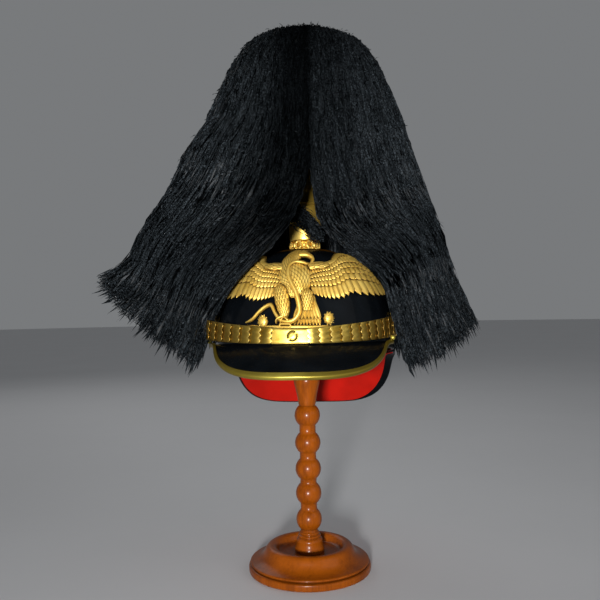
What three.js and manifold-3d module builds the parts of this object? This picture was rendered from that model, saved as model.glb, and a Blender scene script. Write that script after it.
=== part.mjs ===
// Pickelhaube with a parade plume, resting on a turned wooden stand.
// Millimetres, +Z up. The origin is the middle of the stand's underside and the helmet faces -Y.
// The helmet's own pieces are placed in a frame at the middle of its rim, which leans back a little.

import * as THREE from "three";
import { mergeVertices } from "three/addons/utils/BufferGeometryUtils.js";
import Module from "manifold-3d";

const wasm = await Module();
wasm.setup();

// Driving dimensions

const GAP = 0.3;
const HELMET = { rimHeight: 238, leanDeg: 7 };
const SKULL = { halfWidth: 95, halfLength: 108, height: 108, power: 2.6, wall: 2.5 };
const FRONT_PEAK = {
  endDeg: 70, reach: 46, drop: 35.3, square: 3.1, round: 3.8, splay: 0.92, endReach: 9, endRise: 4.1,
};
const REAR_PEAK = {
  endDeg: 76, reach: 39, drop: 57.5, square: 4.7, round: 5, splay: 0.7, endReach: 5, endRise: 0,
};
const PEAK = { wall: 2.2, bulge: 2.5, seamHeight: 0.5 };
const TRIM = { wall: 0.9, clear: 0.8, topWidth: 5.2, underWidth: 3, studRadius: 3 };
const LINING = { wall: 1, inset: 2, start: 2 };
const STRAP = { stand: 4.2, wall: 1.5, midHeight: 8.3, rise: 14, riseDeg: 65, risePower: 1.7 };
const STRAP_BULGE = { left: 11, right: 0 };
const SCALE = { wall: 0.8, nearHeight: 14.2, farHeight: 22.5, overlap: 1.3, lift: 2, cusp: 0.16 };
const CLASP = { fromArc: -25.5, toArc: 9, wall: 1.2, studRadius: 5.4, studHeight: 2.8 };
const SLOT = { width: 1.5, depth: 3.6, turnDeg: -48 };
const LOOP = { length: 12, height: 4.4, wire: 1.2, middleArc: -13 };
const ROSETTE = { radius: 13.5, height: 11, deg: 83, middleHeight: 27 };
const PLATE = { radius: 100, stand: 0.9, axis: -4 };
const PLUME = { locks: 33, rows: 7, thickness: 3, ridge: 4, crestRadius: 60, crestHeight: 348 };
const FUNNEL = { wall: 1.2, topRadius: 24, topHeight: 285 };
const RING = { bottom: 110.9, top: 121.5, radius: 15, wall: 2.5 };
const MOTIF = { count: 8, radius: 3.9, wire: 1.4, depth: 3, sink: 1.2 };
const STAND = { dishFloor: 19, ballRadius: 14, waistRadius: 8.7 };
const CAP = { radius: 38, sphere: 60, underside: 36 };

const SCALES_PER_SIDE = { left: 11, right: 12 };
const SIDES = { left: -1, right: 1 };
const ROUND_SEGMENTS = { base: 20, stem: 10, cap: 16, funnel: 16, small: 10 };

const MATERIALS = {
  leather: new THREE.MeshStandardMaterial({ color: 0x101114, roughness: 0.3, metalness: 0 }),
  brass: new THREE.MeshStandardMaterial({ color: 0xc79a3a, roughness: 0.3, metalness: 1 }),
  lining: new THREE.MeshStandardMaterial({ color: 0xb01c18, roughness: 0.6, metalness: 0 }),
  horsehair: new THREE.MeshStandardMaterial({ color: 0x0c0d10, roughness: 0.5, metalness: 0 }),
  wood: new THREE.MeshStandardMaterial({ color: 0x9a4f14, roughness: 0.4, metalness: 0 }),
};

// Shape helpers

const radians = THREE.MathUtils.degToRad;
const mix = THREE.MathUtils.lerp;

function steps(count) {
  return Array.from({ length: count + 1 }, (unused, index) => index / count);
}

// A closed body from points and triangles, turned the right way out.
function bodyFrom(points, triangles) {
  const normal = new THREE.Vector3();
  let volume = 0;
  for (const [a, b, c] of triangles) {
    volume += points[a].dot(normal.crossVectors(points[b], points[c]));
  }
  const geometry = new THREE.BufferGeometry().setFromPoints(points);
  geometry.setIndex(triangles.flatMap(([a, b, c]) => (volume > 0 ? [a, b, c] : [a, c, b])));
  return geometry;
}

// A wall between an outer and an inner grid of points, as rows of columns.
function wall(outer, inner, closed = false) {
  const rows = outer.length;
  const columns = outer[0].length;
  const spans = closed ? columns : columns - 1;
  const triangles = [];
  const out = (row, column) => row * columns + (column % columns);
  const inn = (row, column) => rows * columns + out(row, column);
  const quad = (a, b, c, d) => triangles.push([a, b, c], [a, c, d]);
  for (let row = 0; row < rows - 1; row += 1) {
    for (let column = 0; column < spans; column += 1) {
      quad(out(row, column), out(row, column + 1), out(row + 1, column + 1), out(row + 1, column));
      quad(inn(row, column), inn(row + 1, column), inn(row + 1, column + 1), inn(row, column + 1));
    }
  }
  const last = rows - 1;
  for (let column = 0; column < spans; column += 1) {
    quad(out(0, column + 1), out(0, column), inn(0, column), inn(0, column + 1));
    quad(out(last, column), out(last, column + 1), inn(last, column + 1), inn(last, column));
  }
  for (let row = 0; row < rows - 1 && !closed; row += 1) {
    const edge = columns - 1;
    quad(out(row, 0), out(row + 1, 0), inn(row + 1, 0), inn(row, 0));
    quad(out(row + 1, edge), out(row, edge), inn(row, edge), inn(row + 1, edge));
  }
  return bodyFrom([...outer.flat(), ...inner.flat()], triangles);
}

// A body lofted through closed sections, with a flat cap at each end.
function loft(sections) {
  const sides = sections[0].length;
  const at = (row, side) => row * sides + (side % sides);
  const triangles = [];
  for (let row = 0; row < sections.length - 1; row += 1) {
    for (let side = 0; side < sides; side += 1) {
      triangles.push([at(row, side), at(row, side + 1), at(row + 1, side + 1)]);
      triangles.push([at(row, side), at(row + 1, side + 1), at(row + 1, side)]);
    }
  }
  const last = sections.length - 1;
  for (let side = 1; side < sides - 1; side += 1) {
    triangles.push([at(0, 0), at(0, side + 1), at(0, side)]);
    triangles.push([at(last, 0), at(last, side), at(last, side + 1)]);
  }
  return bodyFrom(sections.flat(), triangles);
}

// Side-by-side locks in one sheet: each is ridged outside and ends in a point of its own.
// place(across, along, lift) gives a point, with across and along from 0 to 1 and lift in mm.
function lockSheet({ locks, rows, under, valley, ridge, place, tipLength }) {
  const outerColumns = 2 * locks + 1;
  const innerStart = outerColumns * rows;
  const tipStart = innerStart + (locks + 1) * rows;
  const points = [];
  for (let row = 0; row < rows; row += 1) {
    for (let column = 0; column < outerColumns; column += 1) {
      const lift = column % 2 === 0 ? valley : ridge;
      points.push(place(column / (2 * locks), row / (rows - 1), lift));
    }
  }
  for (let row = 0; row < rows; row += 1) {
    for (let column = 0; column <= locks; column += 1) {
      points.push(place(column / locks, row / (rows - 1), under));
    }
  }
  for (let lock = 0; lock < locks; lock += 1) {
    points.push(place((lock + 0.5) / locks, 1 + tipLength(lock), mix(under, valley, 0.5)));
  }
  const out = (row, column) => row * outerColumns + column;
  const inn = (row, column) => innerStart + row * (locks + 1) + column;
  const triangles = [];
  const quad = (a, b, c, d) => triangles.push([a, b, c], [a, c, d]);
  for (let row = 0; row < rows - 1; row += 1) {
    for (let column = 0; column < 2 * locks; column += 1) {
      quad(out(row, column), out(row, column + 1), out(row + 1, column + 1), out(row + 1, column));
    }
    for (let column = 0; column < locks; column += 1) {
      quad(inn(row, column), inn(row + 1, column), inn(row + 1, column + 1), inn(row, column + 1));
    }
    quad(out(row, 0), out(row + 1, 0), inn(row + 1, 0), inn(row, 0));
    quad(out(row + 1, 2 * locks), out(row, 2 * locks), inn(row, locks), inn(row + 1, locks));
  }
  const last = rows - 1;
  for (let lock = 0; lock < locks; lock += 1) {
    const [left, crest, right] = [2 * lock, 2 * lock + 1, 2 * lock + 2];
    const tip = tipStart + lock;
    triangles.push([out(0, crest), out(0, left), inn(0, lock)]);
    triangles.push([out(0, crest), inn(0, lock), inn(0, lock + 1)]);
    triangles.push([out(0, crest), inn(0, lock + 1), out(0, right)]);
    triangles.push([out(last, left), out(last, crest), tip]);
    triangles.push([out(last, crest), out(last, right), tip]);
    triangles.push([out(last, right), inn(last, lock + 1), tip]);
    triangles.push([inn(last, lock + 1), inn(last, lock), tip]);
    triangles.push([inn(last, lock), out(last, left), tip]);
  }
  return bodyFrom(points, triangles);
}

// A turned body from a profile of radius and height.
function turned(profile, segments) {
  const points = profile.map(([radius, height]) => new THREE.Vector2(radius, height));
  return new THREE.LatheGeometry(points, segments).rotateX(Math.PI / 2);
}

function solidOf(geometry) {
  const plain = geometry.clone();
  plain.deleteAttribute("normal");
  plain.deleteAttribute("uv");
  const merged = mergeVertices(plain, 1e-4);
  const index = merged.index.array;
  const triVerts = [];
  for (let start = 0; start < index.length; start += 3) {
    const [a, b, c] = index.slice(start, start + 3);
    if (a !== b && b !== c && c !== a) {
      triVerts.push(a, b, c);
    }
  }
  const vertProperties = new Float32Array(merged.attributes.position.array);
  const mesh = new wasm.Mesh({ numProp: 3, vertProperties, triVerts: new Uint32Array(triVerts) });
  return new wasm.Manifold(mesh);
}

function geometryOf(solid) {
  const mesh = solid.getMesh();
  const geometry = new THREE.BufferGeometry();
  geometry.setAttribute("position", new THREE.BufferAttribute(new Float32Array(mesh.vertProperties), 3));
  geometry.setIndex(Array.from(mesh.triVerts));
  return geometry;
}

function fuse(geometries) {
  return geometryOf(geometries.map(solidOf).reduce((whole, piece) => whole.add(piece)));
}

function cut(geometry, tool) {
  return geometryOf(solidOf(geometry).subtract(solidOf(tool)));
}

function named(name, geometry, material) {
  const mesh = new THREE.Mesh(geometry, material);
  mesh.name = name;
  return mesh;
}

// A value read from a table's column, straight between the rows on either side of the key.
function lookUp(table, keyColumn, key, column) {
  const above = table.findIndex((row) => row[keyColumn] >= key);
  if (above <= 0) {
    return above === 0 ? table[0][column] : table[table.length - 1][column];
  }
  const [low, high] = [table[above - 1], table[above]];
  const share = (key - low[keyColumn]) / (high[keyColumn] - low[keyColumn]);
  return mix(low[column], high[column], share);
}

// Stand

function standBase() {
  const profile = [
    [0, 0], [64.5, 0], [66.5, 2], [66.5, 6], [65.4, 7.8], [63.4, 8.4], [64.8, 10], [63.6, 11.6],
    [59, 12.6], [53, 15.6], [49.2, 20], [47, 24.4], [43, 27], [38.6, 26.6], [36, 25],
    [34.4, 21], [31, STAND.dishFloor], [0, STAND.dishFloor],
  ];
  return named("stand_base", turned(profile, ROUND_SEGMENTS.base), MATERIALS.wood);
}

const BALL_HEIGHTS = [54, 82.4, 109, 137.4, 167.4];
const POST_RADIUS = 11;

// The cap's sphere lies under the crown's inside, which is close to a plane there.
const LEAN = radians(HELMET.leanDeg);
const CAP_CENTRE = HELMET.rimHeight
  + (SKULL.height - SKULL.wall - CAP.sphere - 1.4 * GAP) / Math.cos(LEAN);
const CAP_UNDERSIDE = CAP_CENTRE + CAP.underside;

function standStem() {
  const foot = [
    [0, STAND.dishFloor + GAP], [16, STAND.dishFloor + GAP], [16, 23], [14.5, 27], [14.2, 30.4],
    [13.6, 33], [11.6, 34.6], [12.5, 36.2], [10.4, 37.8], [11, 39.5], [9.6, 41],
  ];
  const waistSine = Math.acos(STAND.waistRadius / STAND.ballRadius);
  const balls = BALL_HEIGHTS.flatMap((height) => steps(4).map((share) => {
    const angle = mix(-waistSine, waistSine, share);
    return [STAND.ballRadius * Math.cos(angle), height + STAND.ballRadius * Math.sin(angle)];
  }));
  const head = [
    [9.6, 181], [11, 190], [13.2, 199], [14.3, 205], [13.4, 209], [POST_RADIUS, 213],
    [POST_RADIUS, CAP_UNDERSIDE - GAP], [0, CAP_UNDERSIDE - GAP],
  ];
  return named("stand_stem", turned([...foot, ...balls, ...head], ROUND_SEGMENTS.stem), MATERIALS.wood);
}

function standCap() {
  const edgeAngle = Math.asin(CAP.radius / CAP.sphere);
  const dome = steps(5).map((share) => {
    const angle = edgeAngle * (1 - share);
    return [CAP.sphere * Math.sin(angle), CAP_CENTRE + CAP.sphere * Math.cos(angle)];
  });
  const underside = [
    [0, CAP_UNDERSIDE], [POST_RADIUS + 3, CAP_UNDERSIDE], [CAP.radius, CAP_UNDERSIDE + 5],
  ];
  return named("stand_cap", turned([...underside, ...dome], ROUND_SEGMENTS.cap), MATERIALS.wood);
}

// Skull

// A point of the skull at an angle from the front, a height over the rim and a lift off its outside.
function onSkull(angle, height, lift) {
  const { halfWidth, halfLength, power } = SKULL;
  const rise = height / SKULL.height;
  const section = (1 - rise ** power) ** (1 / power);
  const point = new THREE.Vector3(
    halfWidth * section * Math.sin(angle), -halfLength * section * Math.cos(angle), height);
  const normal = new THREE.Vector3(
    section ** (power - 2) * point.x / halfWidth ** 2,
    section ** (power - 2) * point.y / halfLength ** 2,
    rise ** (power - 1) / SKULL.height).normalize();
  return point.addScaledVector(normal, lift);
}

const SKULL_COLUMNS = 28;
const SKULL_RISE_DEG = [0, 14, 28, 41, 53, 64, 74, 82, 87];

function skull() {
  const shell = (inset) => SKULL_RISE_DEG.map((rise) => {
    const section = Math.cos(radians(rise)) ** (2 / SKULL.power);
    const height = (SKULL.height - inset) * Math.sin(radians(rise)) ** (2 / SKULL.power);
    return steps(SKULL_COLUMNS).slice(1).map((share) => new THREE.Vector3(
      (SKULL.halfWidth - inset) * section * Math.sin(2 * Math.PI * share),
      -(SKULL.halfLength - inset) * section * Math.cos(2 * Math.PI * share),
      height));
  });
  return named("skull", wall(shell(0), shell(SKULL.wall), true), MATERIALS.leather);
}

// Peaks

// A peak's middle surface: across runs from -1 to 1 along the rim, out from 0 at the skull to 1 at the edge.
function peakSurface(peak, facing) {
  const skin = GAP + PEAK.wall / 2;
  return (across, out) => {
    const angle = radians(peak.endDeg) * across;
    const fade = Math.max(1 - Math.abs(across) ** peak.square, 0) ** peak.round;
    const reach = mix(peak.endReach, peak.reach, fade);
    const rim = new THREE.Vector3(
      (SKULL.halfWidth + skin) * Math.sin(angle),
      facing * (SKULL.halfLength + skin) * Math.cos(angle),
      PEAK.seamHeight + peak.endRise * across ** 2);
    const away = new THREE.Vector3(
      peak.splay * Math.sin(angle) / SKULL.halfWidth,
      facing * Math.cos(angle) / SKULL.halfLength,
      0).normalize();
    const point = rim.addScaledVector(away, reach * out);
    point.z += 4 * PEAK.bulge * fade * out * (1 - out) - peak.drop * fade * out;
    return point;
  };
}

const SLOPE_STEP = 0.01;

// A point lifted off a surface along its upward normal.
function lifted(surface, across, out, lift) {
  const point = surface(across, out);
  const along = surface(across + SLOPE_STEP, out).sub(surface(across - SLOPE_STEP, out));
  const away = surface(across, out + SLOPE_STEP).sub(surface(across, out - SLOPE_STEP));
  const normal = along.cross(away).normalize();
  if (normal.z < 0) {
    normal.negate();
  }
  return point.addScaledVector(normal, lift);
}

function edgeLength(surface, across) {
  return surface(across, 1).distanceTo(surface(across, 0));
}

const frontSurface = peakSurface(FRONT_PEAK, -1);
const rearSurface = peakSurface(REAR_PEAK, 1);
const PEAK_COLUMNS = 18;

function peakSheet(surface, rows, low, high, start = 0, inset = 0) {
  const layer = (lift) => steps(rows).map((out) => steps(PEAK_COLUMNS).map((share) => {
    const across = 2 * share - 1;
    const length = edgeLength(surface, across);
    return lifted(surface, across, mix(start / length, 1 - inset / length, out), lift);
  }));
  return wall(layer(high), layer(low));
}

function frontPeak() {
  return named("front_peak", peakSheet(frontSurface, 4, -PEAK.wall / 2, PEAK.wall / 2), MATERIALS.leather);
}

function rearPeak() {
  return named("rear_peak", peakSheet(rearSurface, 3, -PEAK.wall / 2, PEAK.wall / 2), MATERIALS.leather);
}

function rearPeakLining() {
  const top = -PEAK.wall / 2 - 3.2 * GAP;
  const sheet = peakSheet(rearSurface, 3, top - LINING.wall, top, LINING.start, LINING.inset);
  return named("rear_peak_lining", sheet, MATERIALS.lining);
}

// The metal edge wraps the front peak's rim from its upper face to its underside.
function frontPeakTrim() {
  const near = PEAK.wall / 2 + TRIM.clear;
  const far = near + TRIM.wall;
  const strip = (lift, edge) => steps(PEAK_COLUMNS).map((share) => {
    const across = 2 * share - 1;
    const length = edgeLength(frontSurface, across);
    const at = (distance, height) => lifted(frontSurface, across, 1 + distance / length, height);
    const top = Math.min(TRIM.topWidth, 0.7 * length);
    const underside = Math.min(TRIM.underWidth, 0.5 * length);
    return [at(-top, lift), at(edge, lift), at(edge, -lift), at(-underside, -lift)];
  });
  const band = wall(strip(far, TRIM.clear + TRIM.wall), strip(near, TRIM.clear));
  const studs = [-1, 1].map((end) => {
    const middle = lifted(frontSurface, end, 1, near + TRIM.studRadius);
    return new THREE.SphereGeometry(TRIM.studRadius, 6, 4).translate(middle.x, middle.y, middle.z);
  });
  return named("front_peak_trim", fuse([band, ...studs]), MATERIALS.brass);
}

// Front plate: a spread eagle holding a snake, worked in mm along the skull and over its rim

// A point at a height over the rim and a lift off the skull, found by steps down it.
function onPlate(along, height, lift) {
  const angle = along / PLATE.radius;
  const off = PLATE.stand + lift;
  let foot = height;
  for (let step = 0; step < 2; step += 1) {
    foot = height - (onSkull(angle, foot, off).z - foot);
  }
  return onSkull(angle, foot, off);
}

// A half-round raised shape along a path of rows with along, height, half width and lift.
function relief(path, under, rounded = false) {
  const sections = path.map((row, index) => {
    const before = path[Math.max(index - 1, 0)];
    const after = path[Math.min(index + 1, path.length - 1)];
    const way = new THREE.Vector2(after.along - before.along, after.height - before.height).normalize();
    const at = (across, lift) => onPlate(
      row.along - way.y * across * row.half, row.height + way.x * across * row.half, lift);
    const [low, high] = [under + 0.6, 0.8 * row.lift];
    const crown = rounded ? [at(-0.6, high), at(0, row.lift), at(0.6, high)] : [at(0, row.lift)];
    return [at(-1, low), ...crown, at(1, low), at(0, under)];
  });
  return loft(sections);
}

// Feathers of a wing, from the body outwards: where a feather starts and ends, from the eagle's axis.
const WING = [
  { share: 0.00, rootAlong: 12, rootHeight: 69, tipAlong: 19, tipHeight: 48 },
  { share: 0.18, rootAlong: 23.5, rootHeight: 74.2, tipAlong: 29.5, tipHeight: 44.4 },
  { share: 0.36, rootAlong: 35.5, rootHeight: 77.7, tipAlong: 42.5, tipHeight: 43.1 },
  { share: 0.52, rootAlong: 48.5, rootHeight: 83.8, tipAlong: 56.5, tipHeight: 46.5 },
  { share: 0.68, rootAlong: 65, rootHeight: 91, tipAlong: 78, tipHeight: 49.5 },
  { share: 0.84, rootAlong: 86, rootHeight: 91, tipAlong: 108, tipHeight: 52.6 },
  { share: 1.00, rootAlong: 106, rootHeight: 82, tipAlong: 136, tipHeight: 57.5 },
];
const WING_LAYERS = [
  { locks: 9, rows: 4, reach: 0.88, under: 0, valley: 1.2, ridge: 2.3 },
  { locks: 7, rows: 2, reach: 0.4, under: 0.7, valley: 2.6, ridge: 3.7 },
];
const WING_ARM = [
  { along: 14, height: 78, half: 3.6, lift: 6 },
  { along: 27, height: 80, half: 3.4, lift: 6.2 },
  { along: 48, height: 84.5, half: 2.8, lift: 5.6 },
  { along: 66, height: 94.2, half: 2.8, lift: 5.2 },
  { along: 90, height: 93.4, half: 2.6, lift: 4.8 },
  { along: 110, height: 83, half: 2.3, lift: 4.2 },
  { along: 139, height: 59, half: 1, lift: 2 },
];
const BODY = [
  { along: -2, height: 44, half: 8, lift: 4.2 },
  { along: -2, height: 54, half: 14, lift: 7.4 },
  { along: -4, height: 67, half: 19, lift: 8.8 },
  { along: -10, height: 79, half: 15.5, lift: 7.8 },
  { along: -10, height: 87, half: 11.5, lift: 6.8 },
  { along: -4, height: 92.4, half: 8.2, lift: 6.3 },
  { along: 3, height: 94.2, half: 4, lift: 4.6 },
];
const BEAK = [
  { along: 4, height: 92.6, half: 3.8, lift: 6.4 },
  { along: 12, height: 91.6, half: 3, lift: 6 },
  { along: 17.4, height: 88, half: 2.2, lift: 5.2 },
  { along: 13.5, height: 81, half: 0.8, lift: 3.6 },
];
const LEGS = [
  [
    { along: -19, height: 57, half: 7, lift: 7 },
    { along: -17.5, height: 46, half: 8, lift: 8 },
    { along: -14.5, height: 33, half: 5, lift: 6.6 },
    { along: -14.5, height: 22, half: 3.4, lift: 4 },
  ],
  [
    { along: 7.5, height: 52, half: 7, lift: 7 },
    { along: 8, height: 43, half: 7.4, lift: 7.6 },
    { along: 8.5, height: 33, half: 6.8, lift: 6 },
    { along: 8.5, height: 24, half: 6, lift: 4.4 },
  ],
];
const TAIL = { locks: 5, rows: 3, rootHalf: 5, tipHalf: 13, middle: 4, top: 46, bottom: 18 };
const SNAKE = [
  { along: 10, height: 79.6, half: 2, lift: 7 },
  { along: 2.5, height: 80, half: 2.4, lift: 9.2 },
  { along: -8, height: 80.6, half: 2.4, lift: 9.6 },
  { along: -15.2, height: 76, half: 2.5, lift: 10 },
  { along: -12.5, height: 65, half: 2.5, lift: 10.4 },
  { along: -6.4, height: 52.5, half: 2.5, lift: 9.2 },
  { along: -2.3, height: 37.5, half: 2.5, lift: 8 },
  { along: -2.4, height: 28.5, half: 2.5, lift: 7 },
  { along: -8, height: 22.4, half: 2.4, lift: 6.8 },
  { along: -19, height: 24, half: 2.3, lift: 6.2 },
  { along: -23.5, height: 31, half: 2.2, lift: 5 },
  { along: -28.5, height: 37.8, half: 2.2, lift: 4.6 },
  { along: -41, height: 32.5, half: 2, lift: 4.2 },
  { along: -57, height: 22.8, half: 0.8, lift: 2.6 },
];
const GROUND = [
  { along: -44, height: 15.5, half: 2, lift: 2.2 },
  { along: -20, height: 15, half: 3, lift: 2.6 },
  { along: 12, height: 15, half: 3, lift: 2.6 },
  { along: 36, height: 15.5, half: 2, lift: 2.2 },
];
const CACTUS_ALONG = [-37, 29];
const CACTUS = [
  { height: 14, half: 2.4, lift: 2 },
  { height: 20, half: 4.4, lift: 3.4 },
  { height: 26, half: 4.8, lift: 4.6 },
  { height: 30, half: 3, lift: 3.4 },
];

function wingLayer(layer, side) {
  const { locks, rows, reach, under, valley, ridge } = layer;
  const place = (across, out, lift) => {
    const column = (name) => lookUp(WING, "share", across, name);
    const along = mix(column("rootAlong"), column("tipAlong"), reach * out);
    const height = mix(column("rootHeight"), column("tipHeight"), reach * out);
    return onPlate(PLATE.axis + side * along, height, lift);
  };
  return lockSheet({ locks, rows, under, valley, ridge, place, tipLength: () => 0.12 / reach });
}

function tailFan() {
  const place = (across, out, lift) => {
    const half = mix(TAIL.rootHalf, TAIL.tipHalf, out);
    return onPlate(TAIL.middle * (1 + out) + half * (2 * across - 1), mix(TAIL.top, TAIL.bottom, out), lift);
  };
  const { locks, rows } = TAIL;
  return lockSheet({ locks, rows, under: 0.2, valley: 2.2, ridge: 3.4, place, tipLength: () => 0.2 });
}

function mirrored(path, side) {
  return path.map((row) => ({ ...row, along: PLATE.axis + side * row.along }));
}

function frontPlate() {
  const wings = Object.values(SIDES).flatMap((side) => [
    ...WING_LAYERS.map((layer) => wingLayer(layer, side)),
    relief(mirrored(WING_ARM, side), 1),
  ]);
  const cacti = CACTUS_ALONG.map((along) => relief(CACTUS.map((row) => ({ ...row, along })), 0.6));
  const legs = LEGS.map((leg) => relief(leg, 0.3));
  const bird = [relief(BODY, 0.4, true), relief(BEAK, 0.8), ...legs, tailFan()];
  const pieces = [...wings, ...bird, relief(SNAKE, 0.9), relief(GROUND, 0.1), ...cacti];
  return named("front_plate", fuse(pieces), MATERIALS.brass);
}

// Crown fitting: base plate, neck ring and the funnel that holds the plume

const CROWN_PLATE = { radius: 36, top: RING.bottom - GAP };

function crownPlate() {
  const profile = [
    [0, SKULL.height + GAP], [18, SKULL.height + GAP], [CROWN_PLATE.radius, 106],
    [CROWN_PLATE.radius, 107.4], [26, 109.2], [17, CROWN_PLATE.top], [0, CROWN_PLATE.top],
  ];
  return named("crown_plate", turned(profile, ROUND_SEGMENTS.funnel), MATERIALS.brass);
}

function neckRing() {
  const { bottom, top, radius } = RING;
  const middle = (bottom + top) / 2;
  const inside = radius - RING.wall;
  const band = turned([
    [inside, bottom], [radius + 1, bottom], [radius, middle], [radius + 1, top],
    [inside, top], [inside, bottom],
  ], ROUND_SEGMENTS.funnel);
  const { count, wire, depth, sink } = MOTIF;
  const shape = new THREE.Shape().absarc(0, 0, MOTIF.radius, 0, 2 * Math.PI);
  shape.holes.push(new THREE.Path().absarc(0, 0, MOTIF.radius - wire, 0, 2 * Math.PI, true));
  const motifs = steps(count).slice(1).map((share) => {
    const angle = 2 * Math.PI * (share + 0.5 / count);
    const motif = new THREE.ExtrudeGeometry(shape, { depth, bevelEnabled: false, curveSegments: 3 });
    return motif.rotateX(Math.PI / 2).translate(0, sink - radius, middle).rotateZ(angle);
  });
  return named("neck_ring", fuse([band, ...motifs]), MATERIALS.brass);
}

// The funnel's outside, from its foot on the neck ring to its mouth under the hair.
const FUNNEL_OUTSIDE = [
  [16.6, RING.top + GAP], [17.8, 140.5], [19, 142], [19, 145], [17.4, 146.6], [17, 160],
  [18.4, 161.4], [18.4, 164.6], [16.4, 166.4], [15.4, 190], [16.8, 230],
  [FUNNEL.topRadius, FUNNEL.topHeight],
];

function plumeFunnel() {
  const inside = [
    [FUNNEL.topRadius - FUNNEL.wall, FUNNEL.topHeight], [16.8 - FUNNEL.wall, 230],
    [15.4 - FUNNEL.wall, 190], [15.4 - FUNNEL.wall, RING.top + GAP + FUNNEL.wall],
    [0, RING.top + GAP + FUNNEL.wall],
  ];
  const profile = [[0, RING.top + GAP], ...FUNNEL_OUTSIDE, ...inside];
  return named("plume_funnel", turned(profile, ROUND_SEGMENTS.funnel), MATERIALS.brass);
}

// Chin strap of overlapping scales, which lies on its own leather

const RIM_ARC_START = -Math.PI / 2;
const ARC_SAMPLES = 180;

// One side of the strap's plan, measured from the front along its leather's outside.
function strapCurve(side) {
  const outside = STRAP.stand + STRAP.wall;
  const bulge = side < 0 ? STRAP_BULGE.left : STRAP_BULGE.right;
  return new THREE.EllipseCurve(
    0, 0, SKULL.halfWidth + outside + bulge, SKULL.halfLength + outside, RIM_ARC_START, 0);
}

// How far along the strap one side ends, short of its rosette.
function strapEnd(side) {
  const samples = Math.round(ARC_SAMPLES * ROSETTE.deg / 90);
  const points = strapCurve(side).getPoints(ARC_SAMPLES).slice(0, samples + 1);
  const arc = points.slice(1).reduce((sum, point, index) => sum + point.distanceTo(points[index]), 0);
  return arc - ROSETTE.radius - GAP;
}

// The strap's frame at a distance along it from the front: a place, and its along, up and out directions.
function strapFrame(arc, lift) {
  const side = Math.sign(arc) || 1;
  const curve = strapCurve(side);
  const share = Math.abs(arc) / curve.getLength();
  const plan = curve.getPointAt(share);
  const way = curve.getTangentAt(share);
  const deg = 90 * share;
  const height = STRAP.midHeight + STRAP.rise * (deg / STRAP.riseDeg) ** STRAP.risePower;
  const climb = STRAP.rise * STRAP.risePower / STRAP.riseDeg * (deg / STRAP.riseDeg) ** (STRAP.risePower - 1)
    * 90 / curve.getLength();
  const along = new THREE.Vector3(side * way.x, way.y, climb).normalize();
  const out = new THREE.Vector3(side * way.y, -way.x, 0).normalize();
  const up = new THREE.Vector3(0, 0, 1).addScaledVector(along, -along.z).normalize();
  const place = new THREE.Vector3(side * plan.x, plan.y, height).addScaledVector(out, lift);
  return { place, along, up, out };
}

function strapHeight(arc) {
  return mix(SCALE.nearHeight, SCALE.farHeight, Math.abs(arc) / strapEnd(Math.sign(arc)));
}

// A stretch of curved strip between two distances along the strap.
function strapStrip(fromArc, toArc, spans, low, high, trimmed) {
  const layer = (lift) => steps(spans).map((share) => {
    const arc = mix(fromArc, toArc, share);
    const { place, up } = strapFrame(arc, lift);
    const half = strapHeight(arc) / 2 - trimmed;
    return [place.clone().addScaledVector(up, -half), place.clone().addScaledVector(up, half)];
  });
  return wall(layer(high), layer(low));
}

function chinStraps() {
  const middle = (CLASP.fromArc + CLASP.toArc) / 2;
  return Object.entries(SIDES).map(([name, side]) => {
    const strip = strapStrip(middle + side * GAP / 2, side * strapEnd(side), 11, -STRAP.wall, 0, -0.4);
    return named(`chin_strap_${name}`, strip, MATERIALS.leather);
  });
}

// One scale lies in its own XY plane: its two-lobed free edge is at x = 0 and it runs along +X.
function scaleShape(pitch, height, side) {
  const reach = pitch * SCALE.overlap;
  const half = height / 2;
  const shape = new THREE.Shape();
  shape.moveTo(reach, -half);
  shape.lineTo(reach, half);
  shape.lineTo(SCALE.cusp * pitch, half);
  shape.quadraticCurveTo(-SCALE.cusp * pitch, half / 2, SCALE.cusp * pitch, 0);
  shape.quadraticCurveTo(-SCALE.cusp * pitch, -half / 2, SCALE.cusp * pitch, -half);
  const points = shape.getPoints(3).map((point) => new THREE.Vector2(side * point.x, point.y));
  return new THREE.Shape(points);
}

function chinScales() {
  return Object.entries(SIDES).flatMap(([name, side]) => {
    const count = SCALES_PER_SIDE[name];
    const startArc = side > 0 ? CLASP.toArc : -CLASP.fromArc;
    const pitch = (strapEnd(side) - startArc) / (count + SCALE.overlap - 1);
    const tilt = Math.atan2(SCALE.lift, pitch * SCALE.overlap);
    return steps(count - 1).map((unused, index) => {
      const nearArc = startArc + index * pitch;
      const reach = pitch * SCALE.overlap;
      const { place, along, up, out } = strapFrame(side * (nearArc + reach / 2), GAP + SCALE.lift / 2);
      const face = along.clone().multiplyScalar(Math.cos(tilt)).addScaledVector(out, -Math.sin(tilt));
      const normal = face.clone().cross(up).multiplyScalar(side);
      const shape = scaleShape(pitch, strapHeight(side * (nearArc + reach / 2)), side);
      const geometry = new THREE.ExtrudeGeometry(shape, { depth: SCALE.wall, bevelEnabled: false });
      geometry.translate(-side * reach / 2, 0, 0);
      const number = String(index + 1).padStart(2, "0");
      const mesh = named(`chin_scale_${name}_${number}`, geometry, MATERIALS.brass);
      mesh.position.copy(place);
      mesh.setRotationFromMatrix(new THREE.Matrix4().makeBasis(face.multiplyScalar(side), up, normal));
      return mesh;
    });
  });
}

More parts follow.
